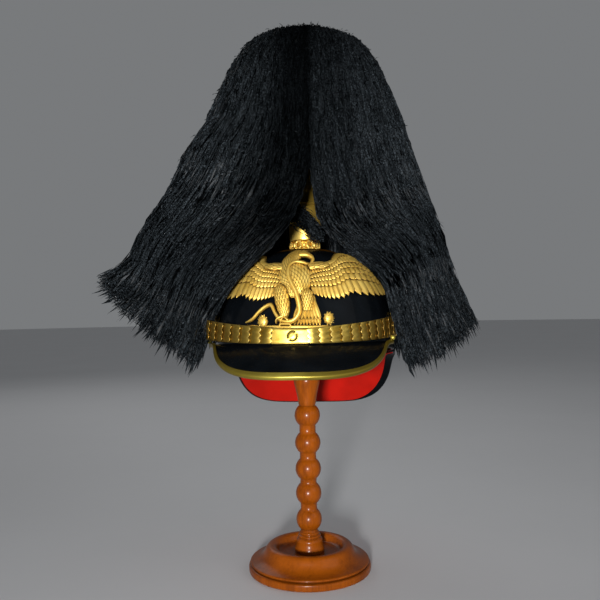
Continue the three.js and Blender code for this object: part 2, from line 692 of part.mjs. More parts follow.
function claspPieces() {
  const plate = strapStrip(CLASP.fromArc, CLASP.toArc, 6, GAP, GAP + CLASP.wall, 0);
  const middle = (CLASP.fromArc + CLASP.toArc) / 2;
  const seat = strapFrame(middle, 2 * GAP + CLASP.wall);
  const { studRadius, studHeight } = CLASP;
  const dome = turned([
    [0, 0], [studRadius, 0], [studRadius, 1], [0.85 * studRadius, 0.65 * studHeight],
    [0.5 * studRadius, 0.93 * studHeight], [0, studHeight],
  ], ROUND_SEGMENTS.small);
  const slot = new THREE.BoxGeometry(SLOT.width, 3 * studRadius, SLOT.depth)
    .rotateZ(radians(SLOT.turnDeg)).translate(0, 0, studHeight);
  const stud = named("chin_clasp_stud", cut(dome, slot), MATERIALS.brass);
  stud.position.copy(seat.place);
  stud.setRotationFromMatrix(new THREE.Matrix4().makeBasis(seat.along.negate(), seat.up, seat.out));
  return [named("chin_clasp_plate", plate, MATERIALS.brass), stud, claspLoop()];
}

// A flat wire loop that stands on the clasp plate's upper edge.
function claspLoop() {
  const { length, height, wire } = LOOP;
  const outline = (inset) => {
    const radius = height / 2 - inset;
    const straight = length / 2 - height / 2;
    return new THREE.Path()
      .absarc(straight, 0, radius, -Math.PI / 2, Math.PI / 2)
      .absarc(-straight, 0, radius, Math.PI / 2, 3 * Math.PI / 2);
  };
  const shape = new THREE.Shape(outline(0).getPoints(3));
  shape.holes.push(outline(wire));
  const options = { depth: CLASP.wall, bevelEnabled: false, curveSegments: 3 };
  const geometry = new THREE.ExtrudeGeometry(shape, options);
  const { place, along, up, out } = strapFrame(LOOP.middleArc, 2 * GAP);
  const loop = named("chin_clasp_loop", geometry, MATERIALS.brass);
  loop.position.copy(place).addScaledVector(up, strapHeight(LOOP.middleArc) / 2 + 1.4 * GAP + height / 2);
  loop.setRotationFromMatrix(new THREE.Matrix4().makeBasis(along.negate(), up, out));
  return loop;
}

function rosettes() {
  const { radius, height, deg, middleHeight } = ROSETTE;
  const profile = [
    [0, 0], [radius, 0], [radius, 3.4], [0.88 * radius, 4.6], [0.8 * radius, 4.4], [0.7 * radius, 7],
    [0.45 * radius, 0.9 * height], [0, height],
  ];
  return Object.entries(SIDES).map(([name, side]) => {
    const at = (lift) => onSkull(side * radians(deg), middleHeight, lift);
    const seat = at(GAP + 0.1);
    const out = at(1).sub(at(0));
    const rosette = named(`rosette_${name}`, turned(profile, ROUND_SEGMENTS.small), MATERIALS.brass);
    rosette.position.copy(seat);
    rosette.quaternion.setFromUnitVectors(new THREE.Vector3(0, 0, 1), out.normalize());
    return rosette;
  });
}

// Plume: locks of horsehair that fall from a head in the funnel's mouth, parted at the front

// Where a lock ends, by its turn from the front, with the two points that shape its fall.
const LOCKS = {
  left: [
    { turn: 56, hip: 78, hipHeight: 332, knee: 81, kneeHeight: 111, end: 136, endHeight: -6 },
    { turn: 72, hip: 84, hipHeight: 334, knee: 110, kneeHeight: 118, end: 172, endHeight: 20 },
    { turn: 82, hip: 90, hipHeight: 337, knee: 130, kneeHeight: 121, end: 209, endHeight: 50 },
    { turn: 90, hip: 92, hipHeight: 338, knee: 138, kneeHeight: 121, end: 239, endHeight: 89 },
    { turn: 100, hip: 92, hipHeight: 338, knee: 140, kneeHeight: 123, end: 231, endHeight: 85 },
    { turn: 115, hip: 93, hipHeight: 338, knee: 139, kneeHeight: 127, end: 204, endHeight: 50 },
    { turn: 140, hip: 96, hipHeight: 339, knee: 134, kneeHeight: 132, end: 176, endHeight: 14 },
    { turn: 180, hip: 98, hipHeight: 341, knee: 130, kneeHeight: 140, end: 162, endHeight: 4 },
  ],
  right: [
    { turn: 56, hip: 78, hipHeight: 332, knee: 78, kneeHeight: 103, end: 136, endHeight: -13 },
    { turn: 72, hip: 92, hipHeight: 340, knee: 110, kneeHeight: 122, end: 154, endHeight: -4 },
    { turn: 90, hip: 97, hipHeight: 343, knee: 132, kneeHeight: 136, end: 186, endHeight: 35 },
    { turn: 110, hip: 98, hipHeight: 343, knee: 133, kneeHeight: 138, end: 179, endHeight: 22 },
    { turn: 140, hip: 98, hipHeight: 342, knee: 131, kneeHeight: 139, end: 168, endHeight: 8 },
    { turn: 180, hip: 98, hipHeight: 341, knee: 130, kneeHeight: 140, end: 162, endHeight: 4 },
  ],
};
// Where the locks beside the parting hang at the top, how far the slit over the funnel opens, from
// where to where the locks swing out under it, and how slowly they begin to.
const PARTING = {
  left: { topDeg: -6.5, slitDeg: 7.5, endDeg: 56, from: 0.59, to: 0.9, slow: 1.57 },
  right: { topDeg: 8.5, slitDeg: 5.8, endDeg: 56, from: 0.576, to: 0.832, slow: 3.1 },
};
const SLIT = { from: 0.47, to: 0.68 };
const TIP_LENGTH = 0.05;
const TIP_VARIATION = 0.025;

// A point on the plume's skin: across goes round from one front edge to the other, out down the lock.
function plumePoint(across, out, lift) {
  const around = 2 * across - 1;
  const [side, name] = around < 0 ? [SIDES.left, "left"] : [SIDES.right, "right"];
  const parting = PARTING[name];
  const back = 1 - Math.abs(around);
  const turn = mix(parting.endDeg, 180, back);
  const table = LOCKS[name];
  const column = (key) => lookUp(table, "turn", turn, key);
  const fall = new THREE.CubicBezierCurve(
    new THREE.Vector2(PLUME.crestRadius, PLUME.crestHeight),
    new THREE.Vector2(column("hip"), column("hipHeight")),
    new THREE.Vector2(column("knee"), column("kneeHeight")),
    new THREE.Vector2(column("end"), column("endHeight")));
  const share = Math.min(out, 1);
  const tangent = fall.getTangent(share);
  const beyond = (out - share) * fall.getLength();
  const place = fall.getPoint(share).addScaledVector(tangent, beyond);
  place.add(new THREE.Vector2(-tangent.y, tangent.x).multiplyScalar(lift));
  const { smoothstep } = THREE.MathUtils;
  const hang = parting.topDeg + parting.slitDeg * smoothstep(share, SLIT.from, SLIT.to);
  const opening = smoothstep(share, parting.from, parting.to) ** parting.slow;
  const angle = radians(mix(mix(hang, 180, back), turn, opening));
  return new THREE.Vector3(side * place.x * Math.sin(angle), -place.x * Math.cos(angle), place.y);
}

function plumeHead() {
  const mouth = FUNNEL.topRadius - FUNNEL.wall - GAP;
  const { crestRadius, crestHeight } = PLUME;
  const profile = [
    [0, FUNNEL.topHeight - 8], [mouth - 1.6, FUNNEL.topHeight - 8], [mouth, FUNNEL.topHeight + GAP],
    [FUNNEL.topRadius, FUNNEL.topHeight + GAP], [FUNNEL.topRadius + 1, 300], [33, 325], [46, 338],
    [crestRadius + 2, crestHeight - 8], [crestRadius, crestHeight + 1], [44, crestHeight + 4],
    [0, crestHeight + 5],
  ];
  return turned(profile, ROUND_SEGMENTS.funnel);
}

function plume() {
  const { locks, rows, thickness, ridge } = PLUME;
  const sheet = lockSheet({
    locks, rows, under: -thickness, valley: 0, ridge, place: plumePoint,
    tipLength: (lock) => TIP_LENGTH + TIP_VARIATION * Math.sin(4.1 * lock),
  });
  return named("plume", fuse([plumeHead(), sheet]), MATERIALS.horsehair);
}

// Assembly

const stand = new THREE.Group();
stand.add(standBase(), standStem(), standCap());

const helmet = new THREE.Group();
helmet.position.z = HELMET.rimHeight;
helmet.rotation.x = -LEAN;
helmet.add(skull(), frontPeak(), frontPeakTrim(), rearPeak(), rearPeakLining(), frontPlate());
helmet.add(crownPlate(), neckRing(), plumeFunnel(), plume());
helmet.add(...chinStraps(), ...chinScales(), ...claspPieces(), ...rosettes());

const pickelhaube = new THREE.Group();
pickelhaube.add(stand, helmet);

export default pickelhaube;
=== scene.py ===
"""A leather helmet with gilt fittings and a long parted horsehair plume, on a turned wooden stand.

The pieces are modelled in millimetres, the helmet's in a frame at the middle of its rim, and are put
in the model's frame, in metres, when they are finished.
"""

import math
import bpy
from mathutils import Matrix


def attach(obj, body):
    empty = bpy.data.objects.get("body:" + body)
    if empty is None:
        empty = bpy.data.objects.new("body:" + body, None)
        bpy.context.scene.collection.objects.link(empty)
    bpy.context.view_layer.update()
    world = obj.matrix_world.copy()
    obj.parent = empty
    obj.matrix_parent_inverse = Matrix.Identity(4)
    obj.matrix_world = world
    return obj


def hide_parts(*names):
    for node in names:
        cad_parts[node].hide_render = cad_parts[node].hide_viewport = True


bl_info = {
    "name": "Plumed Helmet",
    "version": (1, 0, 0),
    "blender": (4, 5, 0),
    "location": "View3D > Sidebar > Helmet",
    "description": "Models a plumed leather helmet with its fittings on a turned stand",
    "category": "Add Mesh",
}

import bmesh
import bpy
import numpy as np
from bpy.props import FloatProperty, FloatVectorProperty, IntProperty, PointerProperty
from mathutils import Matrix, Vector

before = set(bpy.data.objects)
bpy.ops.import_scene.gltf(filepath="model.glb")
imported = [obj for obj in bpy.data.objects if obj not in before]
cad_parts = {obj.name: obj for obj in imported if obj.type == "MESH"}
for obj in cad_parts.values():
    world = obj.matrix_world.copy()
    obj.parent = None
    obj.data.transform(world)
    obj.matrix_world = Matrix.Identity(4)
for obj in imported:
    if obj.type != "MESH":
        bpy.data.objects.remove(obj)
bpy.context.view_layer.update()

MM = 0.001
GAP = 0.3
# Radius that stands for the axis in the profile of a turned body.
AXIS = 0.01
SIDES = {"left": -1, "right": 1}


# Sizes and colours that a user would change


def length(label, description, millimetres):
    return FloatProperty(name=label, description=description, default=millimetres * MM, unit="LENGTH")


def colour(label, description, red, green, blue):
    return FloatVectorProperty(
        name=label, description=description, default=(red, green, blue), subtype="COLOR", min=0, max=1)


def turning(label, description, degrees):
    return FloatProperty(name=label, description=description, default=math.radians(degrees), subtype="ANGLE")


def whole(label, description, count):
    return IntProperty(name=label, description=description, default=count, min=1)


def watts(label, description, number):
    return FloatProperty(name=label, description=description, default=number, min=0, unit="POWER")


class HelmetSizes(bpy.types.PropertyGroup):
    rim_height: length("Rim height", "Height of the middle of the helmet's rim", 238)
    lean: turning("Lean", "How far the helmet leans back", 7)
    half_width: length("Half width", "Half of the skull's width at the rim", 95)
    half_length: length("Half length", "Half of the skull's length at the rim", 108)
    height: length("Height", "Height of the skull over its rim", 108)
    wall: length("Wall", "Thickness of the skull's leather", 2.5)
    peak_wall: length("Peak wall", "Thickness of the peaks' leather", 2.2)
    scale_wall: length("Scale wall", "Thickness of the strap's brass scales", 0.8)


class PlumeSizes(bpy.types.PropertyGroup):
    crest_radius: length("Crest radius", "Radius of the plume's flat top", 60)
    crest_height: length("Crest height", "Height of the plume's top over the rim", 348)
    depth: length("Depth", "How deep the hair lies under the plume's skin", 22)
    hair_width: length("Hair width", "Width of a strand of hair", 0.44)
    crimp: length("Crimp", "Height of the short waves in a strand", 1.1)
    strands: whole("Strands", "Long strands in each bundle of hair", 2800)
    bundles: whole("Bundles", "Bundles of long strands", 2)
    wisps: whole("Wisps", "Short strands in each bundle of wisps", 42000)
    wisp_bundles: whole("Wisp bundles", "Bundles of short strands", 3)
    seed: whole("Seed", "Start of the strands' random places", 7)


class FinishColours(bpy.types.PropertyGroup):
    gilt: colour("Gilt", "Brass where it is rubbed bright", 0.90, 0.63, 0.15)
    gilt_deep: colour("Deep gilt", "Brass where it is toned", 0.66, 0.40, 0.06)
    strap_gilt: colour("Strap gilt", "Brass of the chin scales, rubbed", 0.62, 0.46, 0.10)
    # Also the colour of painted shade on the funnel's upper part.
    strap_deep_and_funnel_shade: colour("Deep strap gilt", "Brass of the chin scales, toned", 0.36, 0.235, 0.035)
    # A painted highlight along the free edges of the chin scales.
    scale_edge_highlight: colour("Scale edge", "Free edges of the chin scales", 0.76, 0.56, 0.16)
    edging: colour("Edging", "Brass edging in the middle of the front peak", 0.54, 0.44, 0.07)
    # Painted shade on the edging towards the peak's sides.
    edging_side_shade: colour("Edging end", "Brass edging at the peak's sides", 0.17, 0.122, 0.010)
    # Painted shade on the chin scales towards the rosettes; also a tone of the crown disc's and the neck
    # ring band's brass.
    deep_tone_and_strap_end_shade: colour("Scale end", "Chin scales towards the rosettes", 0.25, 0.10, 0.003)
    # The colour of painted shade in the brass's hollows and on the sides of the plate's raised forms, and
    # the deep tone of the crown disc's brass.
    hollow_shade_and_deep_tone: colour("Recess", "Dirt in the hollows of the brass", 0.10, 0.045, 0.006)
    lacquer: colour("Lacquer", "Black lacquered leather", 0.0015, 0.0020, 0.0026)
    lining: colour("Lining", "Red leather under the rear peak", 0.38, 0.0060, 0.002)
    wood: colour("Wood", "Varnished wood between its grain", 0.215, 0.048, 0.002)
    # Also, darker, the colour of painted shade in the wood's hollows.
    wood_grain_and_shade: colour("Wood grain", "Dark grain of the wood", 0.13, 0.027, 0.001)
    hair: colour("Hair", "Horsehair in its shade", 0.0030, 0.0038, 0.0044)
    hair_glint: colour("Hair glint", "Horsehair where it catches light", 0.052, 0.064, 0.074)
    floor: colour("Floor", "The floor under the stand", 0.60, 0.60, 0.61)


class StageSizes(bpy.types.PropertyGroup):
    distance: length("Distance", "From the stand's axis to the camera", 750)
    eye: length("Eye height", "Height of the camera over the floor", 283)
    azimuth: turning("Azimuth", "How far the camera is moved round to the right", 3.5)
    roll: turning("Roll", "How far the camera is turned about its view", 1.03)
    lens: FloatProperty(
        name="Lens", description="Focal length on a 36 mm sensor", default=40.8, unit="CAMERA")
    key: watts("Key light", "Power of the light beside the camera", 4.5)
    beam: turning("Key beam", "How far the key light's beam opens", 44)
    fill: watts("Fill light", "Power of each soft light, from the right and from behind", 5.0)
    sky: FloatProperty(
        name="Sky", description="Strength of the even light from all round", default=0.20, min=0)


def sizes():
    return bpy.context.scene.helmet_sizes


def plume_sizes():
    return bpy.context.scene.helmet_plume


def colours():
    return bpy.context.scene.helmet_colours


def stage_sizes():
    return bpy.context.scene.helmet_stage


# Shape tools


WELD_DISTANCE = 0.004


def mix(start, end, share):
    return start + (end - start) * share


def smoothstep(low, high, value):
    share = np.clip((value - low) / (high - low), 0, 1)
    return share * share * (3 - 2 * share)


def through(rows, share):
    """A row between a table's rows, on a smooth line through them; share goes from 0 to 1."""
    place = min(max(share, 0), 1) * (len(rows) - 1)
    index = min(int(place), len(rows) - 2)
    part = place - index
    last = len(rows) - 1
    a, b, c, d = (rows[min(max(index + step, 0), last)] for step in (-1, 0, 1, 2))
    return [
        0.5 * (2 * q + (r - p) * part + (2 * p - 5 * q + 4 * r - s) * part ** 2
               + (3 * q - p - 3 * r + s) * part ** 3)
        for p, q, r, s in zip(a, b, c, d)]


def smooth_line(rows, spans):
    """The rows and the points between them, with so many spans from one row to the next."""
    count = spans * (len(rows) - 1)
    return [through(rows, index / count) for index in range(count + 1)]


def mapped_sheet(bm, columns, rows, place, marks=None):
    """A grid whose points go where place(across, along) puts them, both from 0 to 1, with any marks."""
    for name in marks or {}:
        if bm.verts.layers.float.get(name) is None:
            bm.verts.layers.float.new(name)
    made = bmesh.ops.create_grid(bm, x_segments=columns, y_segments=rows, size=0.5)["verts"]
    for name, mark in (marks or {}).items():
        layer = bm.verts.layers.float[name]
        for vert in made:
            vert[layer] = mark(vert.co.x + 0.5, vert.co.y + 0.5)
    for vert in made:
        vert.co = place(vert.co.x + 0.5, vert.co.y + 0.5)


def weld(bm):
    bmesh.ops.remove_doubles(bm, verts=bm.verts, dist=WELD_DISTANCE)
    bmesh.ops.recalc_face_normals(bm, faces=bm.faces)


def face_out(bm):
    """Turns a sheet's faces away from the helmet's middle."""
    bmesh.ops.recalc_face_normals(bm, faces=bm.faces)
    if sum(face.normal.dot(face.calc_center_median()) for face in bm.faces) < 0:
        bmesh.ops.reverse_faces(bm, faces=bm.faces)


def turned(profile, steps=96, closed=False):
    """A turned body from a profile of radius and height."""
    bm = bmesh.new()
    verts = [bm.verts.new((radius, 0, height)) for radius, height in profile]
    pairs = list(zip(verts, verts[1:]))
    if closed:
        pairs.append((verts[-1], verts[0]))
    edges = [bm.edges.new(pair) for pair in pairs]
    bmesh.ops.spin(
        bm, geom=verts + edges, cent=(0, 0, 0), axis=(0, 0, 1), dvec=(0, 0, 0),
        angle=2 * math.pi, steps=steps, use_merge=True)
    weld(bm)
    return bm


def wire_ring(bm, line, radius, spans, sides=8):
    """A round wire along line(share), whose end meets its start."""
    step = 0.5 / spans

    def place(around, along):
        way = (line((along + step) % 1) - line((along - step) % 1)).normalized()
        across = way.orthogonal() if abs(way.z) > 0.9 else way.cross(Vector((0, 0, 1)))
        across.normalize()
        angle = 2 * math.pi * around
        out = across * math.cos(angle) + way.cross(across) * math.sin(angle)
        return line(along) + out * radius

    mapped_sheet(bm, sides, spans, place)
    weld(bm)


def helmet_matrix():
    s = sizes()
    return (Matrix.Translation((0, 0, s.rim_height)) @ Matrix.Rotation(-s.lean, 4, "X")
            @ Matrix.Scale(MM, 4))


def add_piece(name, bm, finish, nodes, matrix=None, crease=40):
    """Puts a finished shape in the model's frame, with edges sharper than crease, in degrees, kept sharp."""
    bmesh.ops.transform(bm, matrix=helmet_matrix() if matrix is None else matrix, verts=bm.verts)
    mesh = bpy.data.meshes.new(name)
    bm.to_mesh(mesh)
    bm.free()
    mesh.shade_smooth()
    if crease:
        mesh.set_sharp_from_angle(angle=math.radians(crease))
    return show(name, mesh, finish, nodes)


def show(name, mesh, finish, nodes):
    """Puts a mesh in the scene as a piece and hides the nodes of the model that it stands for."""
    mesh.materials.append(finish)
    piece = bpy.data.objects.new(name, mesh)
    bpy.context.scene.collection.objects.link(piece)
    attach(piece, "root")
    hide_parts(*nodes)
    return piece


def thicken(piece, wall, offset, edge=0.0):
    """Gives a sheet its wall, from the sheet inwards (-1), outwards (1) or both ways (0)."""
    solid = piece.modifiers.new("wall", "SOLIDIFY")
    solid.thickness = wall * MM
    solid.offset = offset
    if edge:
        bevel = piece.modifiers.new("edges", "BEVEL")
        bevel.width = edge * MM
        bevel.segments = 2
        bevel.limit_method = "ANGLE"
        bevel.angle_limit = math.radians(50)
        bevel.harden_normals = True


# Finishes


def scaled(tone, share):
    return [share * part for part in tone]


class Finish:
    """A material while its nodes are put together."""

    def __init__(self, name, surface):
        self.material = bpy.data.materials.new(name)
        self.material.use_nodes = True
        self.tree = self.material.node_tree
        self.shader = self.tree.nodes["Principled BSDF"]
        self.set(self.shader, surface)
        self.place = self.add("ShaderNodeTexCoord", {}).outputs["Object"]

    def set(self, node, values):
        for socket, value in values.items():
            if isinstance(value, bpy.types.NodeSocket):
                self.tree.links.new(value, node.inputs[socket])
            else:
                node.inputs[socket].default_value = value

    def add(self, kind, values, **settings):
        node = self.tree.nodes.new(kind)
        for setting, value in settings.items():
            setattr(node, setting, value)
        self.set(node, values)
        return node

    def noise(self, scale, detail=4.0, roughness=0.55, stretch=None, warp=0.0):
        place = self.place
        if stretch:
            place = self.add("ShaderNodeMapping", {"Vector": place, "Scale": stretch}).outputs["Vector"]
        values = {
            "Vector": place, "Scale": scale, "Detail": detail, "Roughness": roughness, "Distortion": warp}
        return self.add("ShaderNodeTexNoise", values).outputs["Fac"]

    def ramp(self, factor, stops):
        node = self.add("ShaderNodeValToRGB", {"Fac": factor})
        elements = node.color_ramp.elements
        while len(elements) < len(stops):
            elements.new(0.5)
        for element, (position, shade) in zip(elements, stops):
            element.position = position
            element.color = (*shade, 1) if hasattr(shade, "__len__") else (shade, shade, shade, 1)
        return node.outputs["Color"]

    def blend(self, factor, low, high):
        node = self.add("ShaderNodeMix", {}, data_type="RGBA")
        self.set(node, {0: factor, 6: low, 7: high})
        return node.outputs[2]

    def spread(self, value, low, high):
        values = {"Value": value, "To Min": low, "To Max": high}
        return self.add("ShaderNodeMapRange", values).outputs["Result"]

    def bump(self, height, depth, strength=1.0, under=None):
        values = {"Height": height, "Distance": depth * MM, "Strength": strength}
        if under:
            values["Normal"] = under
        return self.add("ShaderNodeBump", values).outputs["Normal"]

    def mark(self, name):
        return self.add("ShaderNodeAttribute", {}, attribute_name=name).outputs["Fac"]

    def hollows(self, reach):
        """Nearly 1 in the open and less in the piece's own hollows."""
        node = self.add("ShaderNodeAmbientOcclusion", {"Distance": reach * MM}, only_local=True, samples=8)
        return node.outputs["AO"]

    def done(self, **values):
        self.set(self.shader, {socket.replace("_", " "): value for socket, value in values.items()})
        return self.material


def brass(name, bright, deep, roughness, reach=2.5, hollow=(0.30, 0.86), metal=1.0, **marks):
    """Gilt brass with painted shade in hollows of some reach in mm, and a colour for each mark on the piece.
    """
    c = colours()
    finish = Finish(name, {"Metallic": metal})
    toned = finish.ramp(finish.noise(60, 6, 0.62), [(0.34, deep), (0.66, bright)])
    for mark, tone in marks.items():
        toned = finish.blend(finish.mark(mark), toned, (*tone, 1))
    # Painted shade: places that ambient occlusion finds less open are blended towards the hollow shade
    # colour.
    open_share = finish.ramp(finish.hollows(reach), [(hollow[0], 0.0), (hollow[1], 1.0)])
    shade = finish.blend(open_share, (*c.hollow_shade_and_deep_tone, 1), toned)
    fine = finish.noise(900, 3, 0.6)
    rough = finish.spread(finish.blend(0.5, fine, finish.noise(140, 3)), roughness - 0.09, roughness + 0.13)
    return finish.done(Base_Color=shade, Roughness=rough, Normal=finish.bump(fine, 0.06, 0.5))


def lacquered_leather():
    polish = {"Coat Weight": 0.05, "Coat Roughness": 0.05, "Specular IOR Level": 0.045}
    finish = Finish("black lacquered leather", polish)
    c = colours()
    worn = finish.noise(46, 5, 0.6)
    shade = finish.ramp(worn, [(0.35, c.lacquer), (0.75, scaled(c.lacquer, 1.9))])
    crackle = finish.noise(420, 4, 0.6, (1.0, 1.0, 2.2))
    rough = finish.spread(crackle, 0.16, 0.34)
    swell = finish.bump(finish.noise(38, 2), 0.35, 0.35)
    return finish.done(Base_Color=shade, Roughness=rough, Normal=finish.bump(crackle, 0.05, 0.45, swell))


def red_leather():
    finish = Finish("red leather", {"Specular IOR Level": 0.15})
    c = colours()
    shade = finish.ramp(finish.noise(34, 5), [(0.3, scaled(c.lining, 0.72)), (0.7, c.lining)])
    pores = finish.noise(1100, 3, 0.6)
    return finish.done(
        Base_Color=shade, Roughness=finish.spread(pores, 0.36, 0.56), Normal=finish.bump(pores, 0.08, 0.5))


def turned_wood():
    varnish = {"Coat Weight": 0.12, "Coat Roughness": 0.14, "Specular IOR Level": 0.1}
    finish = Finish("varnished turned wood", varnish)
    c = colours()
    figure = finish.noise(22, 5, 0.6, (1.0, 1.0, 0.22), 0.7)
    pores = finish.noise(420, 3, 0.65, (1.0, 1.0, 0.05))
    grain = finish.blend(0.35, figure, pores)
    shade = finish.ramp(grain, [(0.36, c.wood_grain_and_shade), (0.50, c.wood), (0.72, scaled(c.wood, 1.25))])
    # Painted shade: hollows found by ambient occlusion are darkened towards a darker copy of the grain
    # colour.
    open_share = finish.ramp(finish.hollows(6), [(0.3, 0.0), (0.95, 1.0)])
    shade = finish.blend(open_share, (*scaled(c.wood_grain_and_shade, 0.4), 1), shade)
    return finish.done(
        Base_Color=shade, Roughness=finish.spread(figure, 0.24, 0.42), Normal=finish.bump(pores, 0.05, 0.35))


def horsehair():
    finish = Finish("black horsehair", {})
    c = colours()
    crimp = finish.noise(720, 2, 0.6)
    glint = finish.ramp(crimp, [(0.47, 0.0), (0.63, 1.0)])
    factors = {0: finish.mark("shade"), 1: glint}
    light = finish.add("ShaderNodeMath", factors, operation="MULTIPLY").outputs["Value"]
    shade = finish.ramp(light, [(0.0, c.hair), (0.85, c.hair_glint)])
    shade = finish.blend(finish.mark("lit"), (*scaled(c.hair, 0.2), 1), shade)
    gloss = finish.spread(finish.mark("lit"), 0.0, 0.08)
    rough = finish.spread(crimp, 0.30, 0.55)
    return finish.done(Base_Color=shade, Roughness=rough, Specular_IOR_Level=gloss)


def hair_backing():
    finish = Finish("hair in shadow", {"Specular IOR Level": 0.1})
    c = colours()
    streak = finish.noise(500, 3, 0.6, (1.0, 1.0, 0.08))
    shade = finish.ramp(streak, [(0.3, scaled(c.hair, 0.4)), (0.8, scaled(c.hair, 1.6))])
    return finish.done(
        Base_Color=shade, Roughness=finish.spread(streak, 0.6, 0.9), Normal=finish.bump(streak, 0.8, 0.8))


def pale_floor():
    finish = Finish("pale floor", {})
    c = colours()
    shade = finish.ramp(finish.noise(3, 3), [(0.3, scaled(c.floor, 0.97)), (0.7, c.floor)])
    return finish.done(Base_Color=shade, Roughness=finish.spread(finish.noise(40), 0.7, 0.9))


FINISHES = {}


def finish_named(name):
    """The finish of that name, made the first time that it is asked for."""
    c = colours()
    makers = {
        # The plate's forms get painted shade on their sides and in their hollows.
        "plate": lambda: brass(
            "gilt plate", c.gilt, c.gilt_deep, 0.44, 3.4, (0.42, 0.92), 0.7, groove=c.hollow_shade_and_deep_tone),
        "fitting": lambda: brass("gilt fitting", c.gilt, c.gilt_deep, 0.36, 2.6, metal=0.75),
        # The funnel gets painted shade on its upper part.
        "funnel": lambda: brass(
            "funnel brass", c.gilt, c.gilt_deep, 0.36, 2.6, metal=0.75, far=c.strap_deep_and_funnel_shade),
        # The scales get painted shade towards the rosettes and a painted highlight on their free edges.
        "scale": lambda: brass(
            "chin scale brass", c.strap_gilt, c.strap_deep_and_funnel_shade, 0.36, 1.6, far=c.deep_tone_and_strap_end_shade, edge=c.scale_edge_highlight),
        # The edging gets painted shade towards the peak's sides.
        "edging": lambda: brass(
            "peak edging brass", c.edging, scaled(c.edging, 0.68), 0.36, 1.2, metal=0.75, far=c.edging_side_shade),
        "ring": lambda: brass("neck ring brass", c.gilt, c.gilt_deep, 0.42, 0.7, metal=0.7),
        "toned": lambda: brass("toned brass", c.deep_tone_and_strap_end_shade, c.hollow_shade_and_deep_tone, 0.45, 1.2),
        "band": lambda: brass("ring band brass", c.gilt_deep, c.deep_tone_and_strap_end_shade, 0.45, 1.2),
        "lacquer": lacquered_leather,
        "lining": red_leather,
        "wood": turned_wood,
        "hair": horsehair,
        "backing": hair_backing,
        "floor": pale_floor,
    }
    if name not in FINISHES:
        FINISHES[name] = makers[name]()
    return FINISHES[name]


# Skull, and places on it


SKULL_POWER = 2.6
SKULL_TOP_DEG = 87
SKULL_ROWS = 40
# Radius of the round body that is drawn out to the skull's width and length.
SKULL_ROUND = 100


def on_skull(angle, height, lift):
    """A point of the skull at an angle from the front, a height over the rim and a lift off it, in mm."""
    s = sizes()
    half_width, half_length, top = s.half_width / MM, s.half_length / MM, s.height / MM
    rise = min(height / top, 0.999)
    section = (1 - max(rise, 0) ** SKULL_POWER) ** (1 / SKULL_POWER)
    point = Vector((
        half_width * section * math.sin(angle), -half_length * section * math.cos(angle), height))
    steep = section ** (SKULL_POWER - 2)
    normal = Vector((
        steep * point.x / half_width ** 2, steep * point.y / half_length ** 2,
        max(rise, 0) ** (SKULL_POWER - 1) / top))
    return point + lift * normal.normalized()


class HELMET_OT_add_skull(bpy.types.Operator):
    """Adds the black leather skull"""

    bl_idname = "helmet.add_skull"
    bl_label = "Skull"

    def execute(self, context):
        s = sizes()
        power = 2 / SKULL_POWER
        rises = [math.radians(SKULL_TOP_DEG) * index / SKULL_ROWS for index in range(SKULL_ROWS + 1)]
        profile = [
            (SKULL_ROUND * math.cos(rise) ** power, s.height / MM * math.sin(rise) ** power)
            for rise in rises]
        bm = turned(profile, 128)
        unit = SKULL_ROUND * MM
        bmesh.ops.scale(bm, vec=(s.half_width / unit, s.half_length / unit, 1), verts=bm.verts)
        piece = add_piece("skull_leather", bm, finish_named("lacquer"), ["skull"], crease=0)
        thicken(piece, s.wall / MM, -1, 0.5)
        return {"FINISHED"}


# Peaks and their edging


FRONT = {
    "end": 70, "reach": 46, "drop": 33.8, "square": 3.1, "round": 3.8, "splay": 0.92, "end_reach": 9,
    "end_rise": 4.1, "facing": -1, "border": 0, "skew": 0.14}
REAR = {
    "end": 76, "reach": 39, "drop": 57.5, "square": 4.7, "round": 5, "splay": 0.7, "end_reach": 5,
    "end_rise": 0, "facing": 1, "border": 9, "skew": 0}
PEAK_BULGE = 2.5
PEAK_SEAM = 0.5
SLOPE_STEP = 0.01
# In EDGING, bright is where the edging's painted shade is least, as a share across the peak, and the last
# number how fast that shade grows towards the peak's sides.
EDGING = {
    "clear": 0.3, "wall": 0.8, "top": 5.2, "taper": 0.65, "under": 3.0, "stud": 2.4, "bright": -0.07,
    "side_shade_power": 6}
LINING = {"wall": 1.0, "inset": 2.0, "start": 2.0}


def peak_point(peak, across, out):
    """A point of a peak's middle surface: across from -1 to 1 along the rim, out from 0 to 1 at its edge."""
    s = sizes()
    half_width, half_length = s.half_width / MM, s.half_length / MM
    skin = GAP + s.peak_wall / MM / 2
    angle = math.radians(peak["end"]) * across * (1 - peak["skew"] * max(across, 0) ** 3)
    fade = max(1 - abs(across) ** peak["square"], 0) ** peak["round"]
    rim = Vector((
        (half_width + skin) * math.sin(angle), peak["facing"] * (half_length + skin) * math.cos(angle),
        PEAK_SEAM + peak["end_rise"] * across ** 2))
    away = Vector((
        peak["splay"] * math.sin(angle) / half_width, peak["facing"] * math.cos(angle) / half_length, 0))
    reach = mix(peak["end_reach"], peak["reach"], fade) + peak_border(peak, across)
    point = rim + away.normalized() * reach * out
    point.z += 4 * PEAK_BULGE * fade * out * (1 - out) - peak["drop"] * fade * out
    return point


def peak_border(peak, across):
    """How much further the leather reaches past its lining, on the right side."""
    return peak["border"] * float(smoothstep(0.3, 0.7, across) * (1 - smoothstep(0.85, 1, across)))


